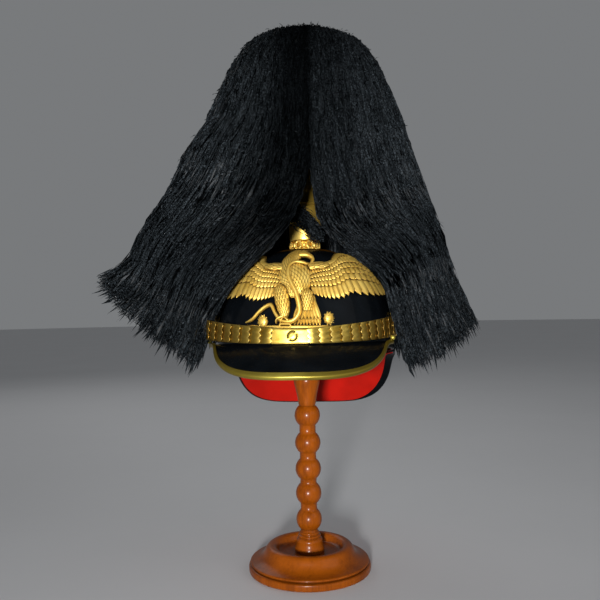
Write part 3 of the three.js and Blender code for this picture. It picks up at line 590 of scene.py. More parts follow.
def over_peak(peak, across, out, lift):
    """A point lifted off a peak along its upward normal."""
    along = peak_point(peak, across + SLOPE_STEP, out) - peak_point(peak, across - SLOPE_STEP, out)
    away = peak_point(peak, across, out + SLOPE_STEP) - peak_point(peak, across, out - SLOPE_STEP)
    normal = along.cross(away).normalized()
    return peak_point(peak, across, out) + normal * (lift if normal.z > 0 else -lift)


def peak_depth(peak, across):
    return (peak_point(peak, across, 1) - peak_point(peak, across, 0)).length


def peak_sheet(peak, lift, start=0.0, inset=0.0, columns=72, rows=14):
    bm = bmesh.new()

    def place(across, out):
        side = 2 * across - 1
        depth = peak_depth(peak, side)
        border = inset + (peak_border(peak, side) if inset else 0)
        return over_peak(peak, side, mix(start / depth, 1 - border / depth, out), lift)

    mapped_sheet(bm, columns, rows, place)
    bmesh.ops.recalc_face_normals(bm, faces=bm.faces)
    if sum(face.normal.z * face.calc_area() for face in bm.faces) < 0:
        bmesh.ops.reverse_faces(bm, faces=bm.faces)
    return bm


class HELMET_OT_add_peaks(bpy.types.Operator):
    """Adds the front and rear peaks and the red lining under the rear one"""

    bl_idname = "helmet.add_peaks"
    bl_label = "Peaks"

    def execute(self, context):
        wall = sizes().peak_wall / MM
        black = finish_named("lacquer")
        for name, peak, node in (("front_peak_leather", FRONT, "front_peak"),
                                 ("rear_peak_leather", REAR, "rear_peak")):
            piece = add_piece(name, peak_sheet(peak, 0), black, [node], crease=0)
            thicken(piece, wall, 0, 0.6)
        lining = peak_sheet(REAR, -wall / 2 - 2 * GAP, LINING["start"], LINING["inset"])
        red = finish_named("lining")
        piece = add_piece(
            "rear_peak_red_lining", lining, red, ["rear_peak_lining"], crease=0)
        thicken(piece, LINING["wall"], -1, 0.3)
        return {"FINISHED"}


class HELMET_OT_add_edging(bpy.types.Operator):
    """Adds the brass edging of the front peak with a small ball at each end"""

    bl_idname = "helmet.add_edging"
    bl_label = "Peak edging"

    def execute(self, context):
        bm = bmesh.new()
        near = sizes().peak_wall / MM / 2 + EDGING["clear"]
        far = near + EDGING["wall"]
        edge = EDGING["clear"] + EDGING["wall"]
        section = [
            (-1.0, near), (-0.97, far - 0.2), (-0.80, far), (-0.45, far), (-0.12, far), (0.0, 0.72 * far),
            (0.0, 0), (0.0, -0.72 * far), (0.06, -far), (0.6, -far), (0.97, -far + 0.2), (1.0, -near)]

        def place(across, turn):
            side = 2 * across - 1
            depth = peak_depth(FRONT, side)
            back, lift = through(section, turn)
            top = EDGING["top"] * (1 - EDGING["taper"] * abs(side) ** 1.5)
            width = min(top, 0.32 * depth) if back < 0 else -min(EDGING["under"], 0.5 * depth)
            bulge = edge * (1 - min(abs(lift) / far, 1) ** 2) ** 0.5
            return over_peak(FRONT, side, 1 + (back * width + bulge) / depth, lift)

        # Painted shade: the edging darkens towards the peak's sides, which turn away from the light.
        def toned(across, turn):
            return 1 - (1 - min(abs(2 * across - 1 - EDGING["bright"]), 1)) ** EDGING["side_shade_power"]

        mapped_sheet(bm, 120, 33, place, {"far": toned})
        for end in (-1, 1):
            middle = over_peak(FRONT, end, 1, near + EDGING["stud"])
            bmesh.ops.create_uvsphere(
                bm, u_segments=20, v_segments=12, radius=EDGING["stud"], matrix=Matrix.Translation(middle))
        bmesh.ops.recalc_face_normals(bm, faces=bm.faces)
        piece = add_piece(
            "front_peak_edging", bm, finish_named("edging"), ["front_peak_trim"], crease=0)
        thicken(piece, 0.3, 0)
        return {"FINISHED"}


# Front plate: a spread eagle that holds a snake, worked in mm along the skull and over its rim


PLATE_RADIUS = 100
PLATE_STAND = 0.9
EAGLE_AXIS = -4

# Feathers of a wing, from the body outwards: where a feather starts and ends, from the eagle's axis.
WING_COLUMNS = ("share", "root", "root_height", "tip", "tip_height")
WING = (
    (0.00, 12, 69, 19, 48),
    (0.12, 20, 73, 26, 45),
    (0.25, 28, 76, 34, 43.5),
    (0.38, 37, 78, 44, 43),
    (0.50, 47, 83, 55, 45.5),
    (0.58, 54, 87, 62, 50.5),
    (0.68, 65, 91, 78, 49.5),
    (0.80, 80, 92.5, 100, 51.5),
    (0.90, 94, 89, 118, 54),
    (1.00, 106, 82, 136, 57.5),
)
# Rows of feathers, from the long ones underneath to the small ones at the wing's leading edge.
FEATHER_COLUMNS = ("count", "start", "end", "low", "high", "plump")
FEATHER_ROWS = (
    (16, 0.34, 1.00, 0.5, 1.6, 0.60),
    (16, 0.26, 0.62, 1.5, 2.7, 0.62),
    (18, 0.16, 0.45, 2.2, 3.4, 0.64),
    (20, 0.06, 0.30, 2.9, 4.2, 0.66),
    (22, -0.04, 0.15, 3.5, 4.9, 0.68),
)
# Raised forms: along from the middle of the front, height over the rim, half width and lift.
WING_ARM = (
    (14, 78, 3.2, 6.0), (26, 80, 3.4, 6.2), (38, 80.5, 3.0, 5.8), (48, 84.5, 2.8, 5.6), (56, 90, 2.8, 5.4),
    (68, 94.6, 2.8, 5.2), (88, 94, 2.6, 4.8), (104, 87, 2.4, 4.4), (120, 76, 2.0, 3.6), (139, 59, 1.0, 2.0),
)
SHOULDER = ((15, 75.5, 3.6, 6.6), (23, 77.5, 5.2, 7.4), (31, 78, 4.6, 7.2), (39, 79.5, 3.0, 6.2))
BODY = (
    (-2, 44, 8, 4.2), (-2, 50, 12, 6.6), (-2, 58, 16, 8.0), (-4, 66, 19, 8.8), (-8, 74, 18.5, 8.6),
    (-11, 81, 14.5, 7.6), (-10.5, 86.5, 11.5, 6.8), (-7, 90.5, 9.5, 6.4), (-2, 93, 7.5, 6.2),
    (3, 94.2, 4.0, 4.6),
)
BEAK = (
    (-1, 92.4, 4.6, 7.0), (6, 92.6, 4.5, 7.0), (11.5, 91.2, 4.0, 6.6), (16, 88.2, 3.4, 6.0),
    (16.8, 84.6, 2.8, 5.4), (14.8, 81.6, 2.0, 4.6), (11.5, 80.0, 0.7, 3.4),
)
THIGH_LEFT = (
    (-19, 58, 3.5, 5.0), (-19, 54, 7.2, 8.0), (-17.5, 46, 8.2, 8.6), (-15.5, 37, 7.6, 7.6),
    (-14.5, 30, 6.2, 6.4), (-14.5, 24.5, 4.2, 5.2),
)
THIGH_RIGHT = (
    (7.5, 53, 3.5, 5.6), (7.5, 49.5, 7.0, 7.8), (8, 43, 7.8, 7.8), (8.5, 37, 7.8, 6.8), (8.5, 31, 7.4, 5.6),
)
CLAWS = (
    ((-14.5, 26, 2.2, 6.0), (-18.5, 25, 1.8, 6.6), (-21.5, 22.5, 1.3, 6.0), (-22, 19.5, 0.5, 4.2)),
    ((-14.5, 26, 2.2, 6.0), (-16, 23, 1.8, 7.2), (-17, 20.5, 1.3, 6.4), (-16, 18, 0.5, 4.2)),
    ((-14.5, 26, 2.2, 6.0), (-11.5, 23.5, 1.8, 7.2), (-9.5, 21, 1.3, 6.4), (-10.5, 18, 0.5, 4.2)),
)
SNAKE = (
    (13, 80.5, 1.0, 5.0), (9, 79.4, 2.4, 7.6), (4, 80.6, 2.8, 9.4), (-4.5, 81.2, 3.0, 10.2),
    (-10.4, 76.5, 3.2, 11.2), (-10.4, 67, 3.3, 11.8), (-7.2, 59, 3.3, 11.4), (-2.8, 50, 3.3, 10.4),
    (0.4, 38, 3.2, 9.2), (0.6, 29, 3.1, 8.2), (-5.5, 21.6, 2.8, 7.6), (-16, 22, 2.5, 6.8),
    (-22.6, 29, 2.2, 5.2), (-28, 37.6, 2.2, 4.6), (-34, 37, 2.1, 4.4), (-41.5, 32, 2.0, 4.2),
    (-49, 25.6, 1.7, 3.8), (-58, 22.6, 0.6, 2.6),
)
GROUND = (
    (-60, 19.5, 0.8, 2.0), (-48, 18.0, 1.8, 3.2), (-36, 16.8, 1.8, 3.0), (-16, 16, 2.2, 3.2),
    (10, 15.6, 2.2, 3.2), (34, 16.4, 1.2, 2.4),
)
# Round cacti: along, height and half width, and how each is drawn out and set with prickles in three rings.
CACTI = ((-36.5, 22, 4.8), (29.5, 24, 4.6))
CACTUS = {"lift": 2.2, "tall": 1.25, "deep": 0.62, "prickles": 30, "tilts": (82, 55, 25), "prickle": 2.6}
# The tail's two layers of feathers, and the lift of each at its root and tip and its height over the bottom.
SKIRT = {"feathers": 9, "half": 2.1, "top": 46, "bottom": 17, "from": (1.5, 15.5), "to": (-6.0, 22.5)}
SKIRT_LAYERS = ((2.4, 1.8, 0), (4.4, 4.2, 6))
# A feather: its width at the root, where it is full and where its tip starts, as shares, and the heights of
# its crown and rib, in mm.
FEATHER = {"root": 0.66, "full": 0.45, "tip": 0.72, "crown": 0.75, "rib": 0.45, "rib_half": 0.3}


def on_plate(along, height, lift):
    """A point at a height over the rim and a lift off the skull, which is found by two steps down it."""
    angle, off = along / PLATE_RADIUS, PLATE_STAND + lift
    foot = height
    for step in range(2):
        foot = height - (on_skull(angle, foot, off).z - foot)
    return on_skull(angle, foot, off)


def wing_at(share, column):
    keys = [row[0] for row in WING]
    values = [row[WING_COLUMNS.index(column)] for row in WING]
    return float(np.interp(share, keys, values))


def wing_place(side, share, reach):
    along = mix(wing_at(share, "root"), wing_at(share, "tip"), reach)
    return EAGLE_AXIS + side * along, mix(wing_at(share, "root_height"), wing_at(share, "tip_height"), reach)


def groove_at_sides(depth, start):
    """Marks of painted shade on a form's sides: none up to a share of its half width, and a depth at its
    edge.
    """
    return {"groove": lambda across, along: depth * float(smoothstep(start, 1, abs(2 * across - 1)))}


def feather(bm, start, end, half, low, high, columns=6, rows=9):
    """A leaf of metal with a raised rib, from its root to its rounded tip."""
    way = Vector((end[0] - start[0], end[1] - start[1]))
    across_way = Vector((-way.y, way.x)).normalized()

    def place(across, along):
        side = 2 * across - 1
        taper = mix(FEATHER["root"], 1, min(along / FEATHER["full"], 1))
        past = max(along - FEATHER["tip"], 0) / (1 - FEATHER["tip"])
        round_tip = math.sqrt(max(1 - past ** 2, 0))
        middle = Vector(start) + way * along
        at = middle + across_way * (side * half * taper * max(round_tip, 0.02))
        rib = max(1 - abs(side) / FEATHER["rib_half"], 0)
        crown = FEATHER["crown"] * (1 - abs(side) ** 1.6) + FEATHER["rib"] * rib
        return on_plate(at.x, at.y, mix(low, high, along) + crown * (0.35 + 0.65 * round_tip))

    mapped_sheet(bm, columns, rows, place, groove_at_sides(1.0, 0.65))


def relief_place(path, under):
    """The surface of a half-round raised form along a path of along, height, half width and lift."""

    def place(side, share, extra=0.0):
        before, row, after = (through(path, share + step) for step in (-0.01, 0, 0.01))
        way = Vector((after[0] - before[0], after[1] - before[1])).normalized()
        along, height, half, lift = row
        rise = max(1 - min(abs(side), 1) ** 2.2, 0) ** 0.6
        return on_plate(
            along - way.y * side * half, height + way.x * side * half, under + (lift - under) * rise + extra)

    return place


def relief(bm, path, under=0.2, columns=12, rows=None):
    place = relief_place(path, under)
    mapped_sheet(
        bm, columns, rows or 6 * (len(path) - 1), lambda across, along: place(2 * across - 1, along),
        groove_at_sides(1.0, 0.7))
    return place


def small_feathers(bm, place, first, last, rows, count, size, lift):
    """Rows of small pointed leaves laid over a raised form, each row shifted by half a leaf."""
    for row in range(rows):
        share = mix(first, last, row / max(rows - 1, 1))
        for index in range(count):
            middle = mix(-0.86, 0.86, (index + 0.5 * (row % 2) + 0.25) / count)

            def leaf(across, along, middle=middle, share=share):
                side = (2 * across - 1) * math.sqrt(max(1 - max(along - 0.35, 0) ** 2 / 0.43, 0.0004))
                at = min(max(middle + side * 0.92 / count, -0.98), 0.98)
                crown = lift * (0.25 + 0.75 * along) * (1 - 0.5 * abs(side) ** 2)
                return place(at, min(max(share + size * (along - 0.5), 0), 1), crown)

            mapped_sheet(bm, 4, 4, leaf, groove_at_sides(0.6, 0.6))


def mirrored(path, side):
    return [(EAGLE_AXIS + side * along, *rest) for along, *rest in path]


def add_wing(bm, side):
    mapped_sheet(
        bm, 40, 10, lambda across, along: on_plate(*wing_place(side, across, mix(-0.02, 0.9, along)), 0.2))
    for values in FEATHER_ROWS:
        row = dict(zip(FEATHER_COLUMNS, values))
        broadest = mix(row["start"], row["end"], 0.6)
        for index in range(row["count"]):
            share = (index + 0.5) / row["count"]
            root = wing_place(side, share, row["start"])
            tip = wing_place(side, share, row["end"])
            one, other = (
                Vector(wing_place(side, min(max(share + step / row["count"], 0), 1), broadest))
                for step in (-0.5, 0.5))
            feather(bm, root, tip, row["plump"] * (other - one).length, row["low"], row["high"])
    relief(bm, mirrored(WING_ARM, side), 1.0, 8)
    place = relief(bm, mirrored(SHOULDER, side), 1.5, 10)
    small_feathers(bm, place, first=0.15, last=0.85, rows=4, count=3, size=0.3, lift=0.5)


def facing(way):
    """A turn that brings the upward axis to a direction."""
    return way.to_track_quat("Z", "Y").to_matrix().to_4x4()


def add_cactus(bm, along, height, half):
    tall, deep, prickles = CACTUS["tall"], CACTUS["deep"], CACTUS["prickles"]
    out = (on_plate(along, height, 3) - on_plate(along, height, 2)).normalized()
    base = Matrix.Translation(on_plate(along, height, CACTUS["lift"])) @ facing(out)
    flat = Matrix.Diagonal((1.0, tall, deep, 1.0))
    bmesh.ops.create_uvsphere(bm, u_segments=18, v_segments=12, radius=half, matrix=base @ flat)
    for index in range(prickles):
        angle = 2 * math.pi * index / prickles
        tilt = math.radians(CACTUS["tilts"][index % 3])
        way = Vector((
            math.sin(tilt) * math.cos(angle),
            tall * math.sin(tilt) * math.sin(angle),
            deep * math.cos(tilt)))
        point = base @ Matrix.Translation(way * half * 0.98) @ facing(way)
        bmesh.ops.create_cone(
            bm, cap_ends=True, cap_tris=True, segments=5, radius1=0.55, radius2=0.05,
            depth=CACTUS["prickle"], matrix=point)


class HELMET_OT_add_plate(bpy.types.Operator):
    """Adds the gilt front plate"""

    bl_idname = "helmet.add_plate"
    bl_label = "Front plate"

    def execute(self, context):
        bm = bmesh.new()
        for side in SIDES.values():
            add_wing(bm, side)
        body = relief(bm, BODY, 0.2, 18, 64)
        small_feathers(bm, body, first=0.06, last=0.93, rows=22, count=9, size=0.085, lift=0.8)
        relief(bm, BEAK, 0.6, 10, 36)
        thigh = relief(bm, THIGH_LEFT, 0.2, 14, 30)
        small_feathers(bm, thigh, first=0.16, last=0.88, rows=9, count=5, size=0.15, lift=0.8)
        thigh = relief(bm, THIGH_RIGHT, 0.2, 14, 26)
        small_feathers(bm, thigh, first=0.16, last=0.90, rows=7, count=5, size=0.2, lift=0.8)
        for layer, (root_lift, tip_lift, rise) in enumerate(SKIRT_LAYERS):
            count = SKIRT["feathers"] - layer
            for index in range(count):
                share = (index + 0.5) / count
                root = (mix(*SKIRT["from"], share), SKIRT["top"] - 4 * layer)
                tip = (mix(*SKIRT["to"], share), SKIRT["bottom"] + rise)
                feather(bm, root, tip, SKIRT["half"], root_lift, tip_lift, 6, 14)
        for claw in CLAWS:
            relief(bm, claw, 0.6, 8, 18)
        relief(bm, SNAKE, 0.5, 12, 150)
        relief(bm, GROUND, 0.1, 8, 40)
        for along, height, half in CACTI:
            add_cactus(bm, along, height, half)
        bmesh.ops.recalc_face_normals(bm, faces=bm.faces)
        inward = [face for face in bm.faces if face.normal.dot(face.calc_center_median()) < 0]
        bmesh.ops.reverse_faces(bm, faces=inward)
        piece = add_piece("eagle_plate", bm, finish_named("plate"), ["front_plate"], crease=50)
        thicken(piece, 0.35, -1)
        return {"FINISHED"}


# Crown fitting


# Profiles of radius and height, in mm.
DISC_PROFILE = (
    (34, 106.4), (36, 105.9), (36.6, 106.6), (36, 107.3), (34.4, 107.5), (33, 107.5), (30, 108.6),
    (26, 109.2), (22, 109.8), (17, 110.5), (AXIS, 110.5),
)
FUNNEL_OUTSIDE = (
    (16.6, 121.9), (16.9, 124), (17.4, 133), (17.8, 140), (18.2, 140.8), (19.0, 141.8), (19.2, 143.4),
    (19.0, 145), (18.0, 146.2), (17.3, 147), (17.0, 153), (17.0, 158.5), (17.2, 159.3), (17.9, 160),
    (18.0, 160.7), (17.3, 161.4), (16.9, 162.1), (17.3, 162.8), (17.9, 163.5), (17.8, 164.3), (17.1, 165),
    (16.5, 166), (15.8, 178), (15.4, 190), (15.8, 212), (16.8, 230), (19.6, 256), (24, 285),
)
FUNNEL_INSIDE = ((22.8, 285), (15.6, 230), (14.2, 190), (14.2, 124), (AXIS, 123.6), (AXIS, 121.9))
# Heights between which painted shade comes over the funnel's brass, where the hair shades it.
FUNNEL_SHADED = (138, 160)
RING = {
    "bottom": 110.9, "top": 121.5, "radius": 15.0, "motifs": 8, "motif": 3.2, "tall": 1.25, "wire": 0.95,
    "dome": 1.9, "beads": 22, "bead": 1.3}


class HELMET_OT_add_crown_fitting(bpy.types.Operator):
    """Adds the round crown plate, the neck ring and the funnel that holds the plume"""

    bl_idname = "helmet.add_crown_fitting"
    bl_label = "Crown fitting"

    def execute(self, context):
        foot = sizes().height / MM + GAP
        disc = [(AXIS, foot), (18, foot), *DISC_PROFILE]
        add_piece("crown_disc", turned(disc, 96), finish_named("toned"), ["crown_plate"])
        self.add_ring(finish_named("ring"))
        funnel = turned([*smooth_line(FUNNEL_OUTSIDE, 3), *FUNNEL_INSIDE], 80, True)
        # Painted shade on the funnel's upper part, under the hair.
        far = funnel.verts.layers.float.new("far")
        for vert in funnel.verts:
            vert[far] = smoothstep(*FUNNEL_SHADED, vert.co.z)
        add_piece("funnel_brass", funnel, finish_named("funnel"), ["plume_funnel"])
        return {"FINISHED"}

    def add_ring(self, gilt):
        low, high, radius = RING["bottom"], RING["top"], RING["radius"]
        middle = (low + high) / 2
        band = [
            (radius + 1.6, low), (radius + 1.8, low + 0.8), (radius + 1.2, low + 1.6), (radius, low + 2.2),
            (radius - 0.4, middle), (radius, high - 2.2), (radius + 1.0, high - 1.5),
            (radius + 1.4, high - 0.7), (radius + 1.0, high), (radius - 2.5, high), (radius - 2.5, low)]
        add_piece("neck_ring_band", turned(band, 96, True), finish_named("band"), ["neck_ring"])
        bm = bmesh.new()
        count = RING["motifs"]
        for index in range(2 * count):
            angle = 2 * math.pi * (index / 2 + 0.5) / count
            turn = Matrix.Rotation(angle, 4, "Z")
            if index % 2 == 0:
                self.add_eye(bm, turn, radius, middle)
            else:
                oval = Matrix.Diagonal((1, 0.9, 1.5, 1))
                seat = turn @ Matrix.Translation((0, -radius - 0.5, middle)) @ oval
                bmesh.ops.create_uvsphere(bm, u_segments=14, v_segments=10, radius=RING["dome"], matrix=seat)
        for index in range(RING["beads"]):
            turn = Matrix.Rotation(2 * math.pi * index / RING["beads"], 4, "Z")
            seat = turn @ Matrix.Translation((0, -radius - 2.0, low + RING["bead"] - 0.2))
            bmesh.ops.create_uvsphere(bm, u_segments=10, v_segments=8, radius=RING["bead"], matrix=seat)
        add_piece("neck_ring_of_eyes", bm, gilt, ["neck_ring"])

    def add_eye(self, bm, turn, radius, middle):
        """One open ring that stands on the band."""

        def line(share):
            angle = 2 * math.pi * share
            across = RING["motif"] * math.sin(angle)
            up = RING["tall"] * RING["motif"] * math.cos(angle)
            return turn @ Vector((across, -radius - 1.4, middle + up))

        wire_ring(bm, line, RING["wire"], 26)


# Chin strap


STRAP = {"stand": 4.2, "wall": 1.5, "mid_height": 6.6, "rise": 15.7, "rise_deg": 65.0, "power": 1.7}
STRAP_BULGE = {-1: 16.0, 1: 0.0}
# Scales: their height at the clasp and at the rosettes, overlap, lift and lobes as shares of a scale's
# pitch, swell, turned-down sides, a painted highlight on the front edge that fades towards the rosettes,
# and painted shade towards the rosettes.
SCALE = {
    "near": 14.2, "far": 22.5, "overlap": 1.3, "lift": 2.0, "lobe": 0.16, "lobes": 3, "swell": 0.7,
    "stand": 0.8, "side": 0.10, "turned_down": 0.5, "bright": 0.09, "highlight_loss": 0.6, "toned": 0.85}
SCALE_COUNTS = {"left": 11, "right": 12}
CLASP = {
    "start": -25.5, "end": 9.0, "wall": 1.2, "side": 0.12, "turned_down": 0.5, "stud": 5.4,
    "stud_height": 2.8, "stud_middle": -5.6, "slot": 1.5, "slot_floor": 0.9, "slot_deg": 42}
LOOP = {"length": 12.0, "height": 4.4, "wire": 0.75, "middle": -13.0}
ROSETTE = {"radius": 13.5, "height": 11.0, "deg": 83, "middle": 27, "petals": 12, "petal": 0.5}
ARC_SAMPLES = 720


def strap_plan(side):
    """One side of the strap in plan: its half axes, the way along it to each angle, and where it ends."""
    stand = STRAP["stand"] + STRAP["wall"]
    angles = np.linspace(0, math.pi / 2, ARC_SAMPLES + 1)
    across = sizes().half_width / MM + stand + STRAP_BULGE[side]
    along = sizes().half_length / MM + stand
    x, y = across * np.sin(angles), -along * np.cos(angles)
    arcs = np.concatenate([[0], np.cumsum(np.hypot(np.diff(x), np.diff(y)))])
    end = float(np.interp(math.radians(ROSETTE["deg"]), angles, arcs)) - ROSETTE["radius"] - GAP
    return {"across": across, "along": along, "angles": angles, "arcs": arcs, "end": end}


def strap_plans():
    return {side: strap_plan(side) for side in SIDES.values()}


def strap_frame(arc, lift, plans):
    """A place on the strap with its up and out directions, at a distance along it from the front."""
    side = -1 if arc < 0 else 1
    plan = plans[side]
    across, along, arcs = plan["across"], plan["along"], plan["arcs"]
    angle = float(np.interp(abs(arc), arcs, plan["angles"]))
    deg = 90 * abs(arc) / arcs[-1]
    height = STRAP["mid_height"] + STRAP["rise"] * (deg / STRAP["rise_deg"]) ** STRAP["power"]
    climb = (STRAP["rise"] * STRAP["power"] / STRAP["rise_deg"]
             * (deg / STRAP["rise_deg"]) ** (STRAP["power"] - 1) * 90 / arcs[-1])
    way = Vector((across * math.cos(angle), along * math.sin(angle), 0)).normalized()
    out = Vector((side * way.y, -way.x, 0))
    run = Vector((side * way.x, way.y, climb)).normalized()
    up = (Vector((0, 0, 1)) - run * run.z).normalized()
    place = Vector((side * across * math.sin(angle), -along * math.cos(angle), height))
    return place + out * lift, run, up, out


def strap_height(arc, plans):
    end = plans[-1 if arc < 0 else 1]["end"]
    return mix(SCALE["near"], SCALE["far"], min(abs(arc) / end, 1))


def strap_point(arc, share, lift, plans, grow=0.0):
    place, run, up, out = strap_frame(arc, lift, plans)
    return place + up * (2 * share - 1) * (strap_height(arc, plans) / 2 + grow)


class HELMET_OT_add_strap(bpy.types.Operator):
    """Adds the chin strap's leather and its overlapping brass scales"""

    bl_idname = "helmet.add_strap"
    bl_label = "Chin strap"

    def execute(self, context):
        plans = strap_plans()
        middle = (CLASP["start"] + CLASP["end"]) / 2
        for name, side in SIDES.items():
            bm = bmesh.new()
            start = middle + side * GAP / 2
            mapped_sheet(bm, 60, 4, lambda along, across: strap_point(
                mix(start, side * plans[side]["end"], along), across, 0, plans, 0.4))
            face_out(bm)
            black = finish_named("lacquer")
            piece = add_piece(
                f"strap_leather_{name}", bm, black, [f"chin_strap_{name}"], crease=0)
            thicken(piece, STRAP["wall"], -1, 0.3)
            self.add_scales(name, side, plans)
        return {"FINISHED"}

    def add_scales(self, name, side, plans):
        count = SCALE_COUNTS[name]
        end = plans[side]["end"]
        first = CLASP["end"] if side > 0 else -CLASP["start"]
        pitch = (end - first) / (count + SCALE["overlap"] - 1)
        for index in range(count):
            near = first + index * pitch
            bm = bmesh.new()

            def place(across, along):
                lobe = SCALE["lobe"] * pitch * (0.5 - abs(math.sin(SCALE["lobes"] * math.pi * across)))
                arc = side * (near + lobe * (1 - along) + pitch * SCALE["overlap"] * along)
                tilt = SCALE["lift"] * (1 - along) + SCALE["swell"] * math.sin(math.pi * min(1.4 * along, 1))
                edge = 1 - min(min(across, 1 - across) / SCALE["side"], 1)
                stand = SCALE["stand"] - SCALE["turned_down"] * edge ** 2
                return strap_point(arc, across, GAP + tilt + stand, plans)

            # Painted shade: the scales darken towards the rosettes, where the strap turns away from the
            # light, and their painted highlight fades.
            far = near / end
            bright = 1 - SCALE["highlight_loss"] * far
            marks = {
                # Painted highlight: a bright band along each scale's free edge.
                "edge": lambda across, along: bright * max(1 - along / SCALE["bright"], 0),
                "far": lambda across, along: SCALE["toned"] * far}
            mapped_sheet(bm, 24, 14, place, marks)
            face_out(bm)
            number = f"{name}_{index + 1:02d}"
            piece = add_piece(
                f"scale_{number}", bm, finish_named("scale"), [f"chin_scale_{number}"], crease=0)
            thicken(piece, sizes().scale_wall / MM, -1, 0.15)


class HELMET_OT_add_clasp(bpy.types.Operator):
    """Adds the strap's clasp plate with its slotted stud and wire loop"""

    bl_idname = "helmet.add_clasp"
    bl_label = "Clasp"

    def execute(self, context):
        plans = strap_plans()
        gilt = finish_named("scale")
        bm = bmesh.new()

        def place(along, across):
            edge = 1 - min(min(across, 1 - across) / CLASP["side"], 1)
            lift = GAP + CLASP["wall"] - CLASP["turned_down"] * edge ** 2
            return strap_point(mix(CLASP["start"], CLASP["end"], along), across, lift, plans)

        mapped_sheet(bm, 40, 12, place)
        face_out(bm)
        piece = add_piece("clasp_plate", bm, gilt, ["chin_clasp_plate"], crease=0)
        thicken(piece, CLASP["wall"] - 0.2, -1, 0.2)
        self.add_stud(plans, gilt)
        self.add_loop(plans)
        return {"FINISHED"}

    def add_stud(self, plans, gilt):
        """A domed head that is turned down along its slot."""
        radius, height = CLASP["stud"], CLASP["stud_height"]
        dome = smooth_line(
            [(radius, 0), (radius, 0.9), (0.93 * radius, 0.5 * height), (0.72 * radius, 0.8 * height),
             (0.4 * radius, 0.96 * height), (AXIS, height)], 5)
        bm = turned([(AXIS, 0), *dome], 56)
        turn = math.radians(CLASP["slot_deg"])
        across = Vector((-math.sin(turn), math.cos(turn), 0))
        half, floor = CLASP["slot"] / 2, CLASP["slot_floor"]
        for offset in (-half, -half + 0.15, half - 0.15, half):
            bmesh.ops.bisect_plane(
                bm, geom=bm.verts[:] + bm.edges[:] + bm.faces[:], plane_co=across * offset, plane_no=across)
        for vert in bm.verts:
            if abs(vert.co.dot(across)) < half - 0.1 and vert.co.z > floor:
                vert.co.z = floor
        place, run, up, out = strap_frame(CLASP["stud_middle"], 2 * GAP + CLASP["wall"], plans)
        turn = Matrix((run * -1, up, out)).transposed().to_4x4()
        bmesh.ops.transform(bm, matrix=Matrix.Translation(place) @ turn, verts=bm.verts)
        bmesh.ops.recalc_face_normals(bm, faces=bm.faces)
        add_piece("clasp_stud", bm, gilt, ["chin_clasp_stud"])

    def add_loop(self, plans):
        bm = bmesh.new()
        straight = LOOP["length"] / 2 - LOOP["height"] / 2
        radius = LOOP["height"] / 2 - LOOP["wire"]
        arc = math.pi * radius
        lap = 4 * straight + 2 * arc
        place, run, up, out = strap_frame(LOOP["middle"], 2 * GAP + CLASP["wall"] / 2, plans)
        middle = place + up * (strap_height(LOOP["middle"], plans) / 2 + 1.4 * GAP + LOOP["height"] / 2)

        def flat(share):
            at = share * lap
            if at < 2 * straight:
                return straight - at, radius
            if at < 2 * straight + arc:
                angle = (at - 2 * straight) / radius
                return -straight - radius * math.sin(angle), radius * math.cos(angle)
            if at < 4 * straight + arc:
                return at - 3 * straight - arc, -radius
            angle = (at - 4 * straight - arc) / radius
            return straight + radius * math.sin(angle), -radius * math.cos(angle)

        def line(share):
            across, rise = flat(share)
            return middle + run * across + up * rise

        wire_ring(bm, line, LOOP["wire"], 60)
        add_piece("clasp_loop", bm, finish_named("ring"), ["chin_clasp_loop"])


class HELMET_OT_add_rosettes(bpy.types.Operator):
    """Adds the round bosses that hold the strap's ends"""

    bl_idname = "helmet.add_rosettes"
    bl_label = "Rosettes"

    def execute(self, context):
        radius, height = ROSETTE["radius"], ROSETTE["height"]
        profile = smooth_line(
            [(radius, 0), (radius, 2.6), (0.96 * radius, 3.8), (0.88 * radius, 4.6), (0.80 * radius, 4.2),
             (0.74 * radius, 5.6), (0.62 * radius, 8.0), (0.4 * radius, 0.92 * height), (AXIS, height)], 5)
        for name, side in SIDES.items():
            bm = turned([(AXIS, 0), *profile], 64)
            for vert in bm.verts:
                ring = math.hypot(vert.co.x, vert.co.y) / radius
                if 0.82 < ring and vert.co.z > 2:
                    angle = math.atan2(vert.co.y, vert.co.x)
                    vert.co.z += ROSETTE["petal"] * math.cos(ROSETTE["petals"] * angle)
            angle = side * math.radians(ROSETTE["deg"])
            foot, seat, tip = (on_skull(angle, ROSETTE["middle"], lift) for lift in (0, GAP + 0.1, 1))
            place = Matrix.Translation(seat) @ facing((tip - foot).normalized())
            bmesh.ops.transform(bm, matrix=place, verts=bm.verts)
            add_piece(f"boss_{name}", bm, finish_named("fitting"), [f"rosette_{name}"])
        return {"FINISHED"}


# Plume


LOCK_COLUMNS = ("turn", "hip", "hip_height", "knee", "knee_height", "end", "end_height")
LOCKS = {
    "left": (
        (56, 78, 332, 81, 111, 130, -20),
        (72, 84, 334, 110, 118, 169, 13),
        (82, 97, 337, 121, 121, 209, 50),
        (90, 101, 338, 127, 121, 239, 89),
        (100, 101, 338, 129, 123, 231, 85),
        (115, 100, 338, 131, 127, 204, 50),
        (140, 96, 339, 134, 132, 176, 14),
        (180, 98, 341, 130, 140, 162, 4)),
    "right": (
        (56, 78, 332, 78, 103, 130, -24),
        (72, 92, 340, 110, 122, 149, -10),
        (90, 104, 343, 132, 136, 189, 27),
        (110, 103, 343, 133, 138, 179, 14),
        (140, 98, 342, 131, 139, 168, 8),
        (180, 98, 341, 130, 140, 162, 4)),
}
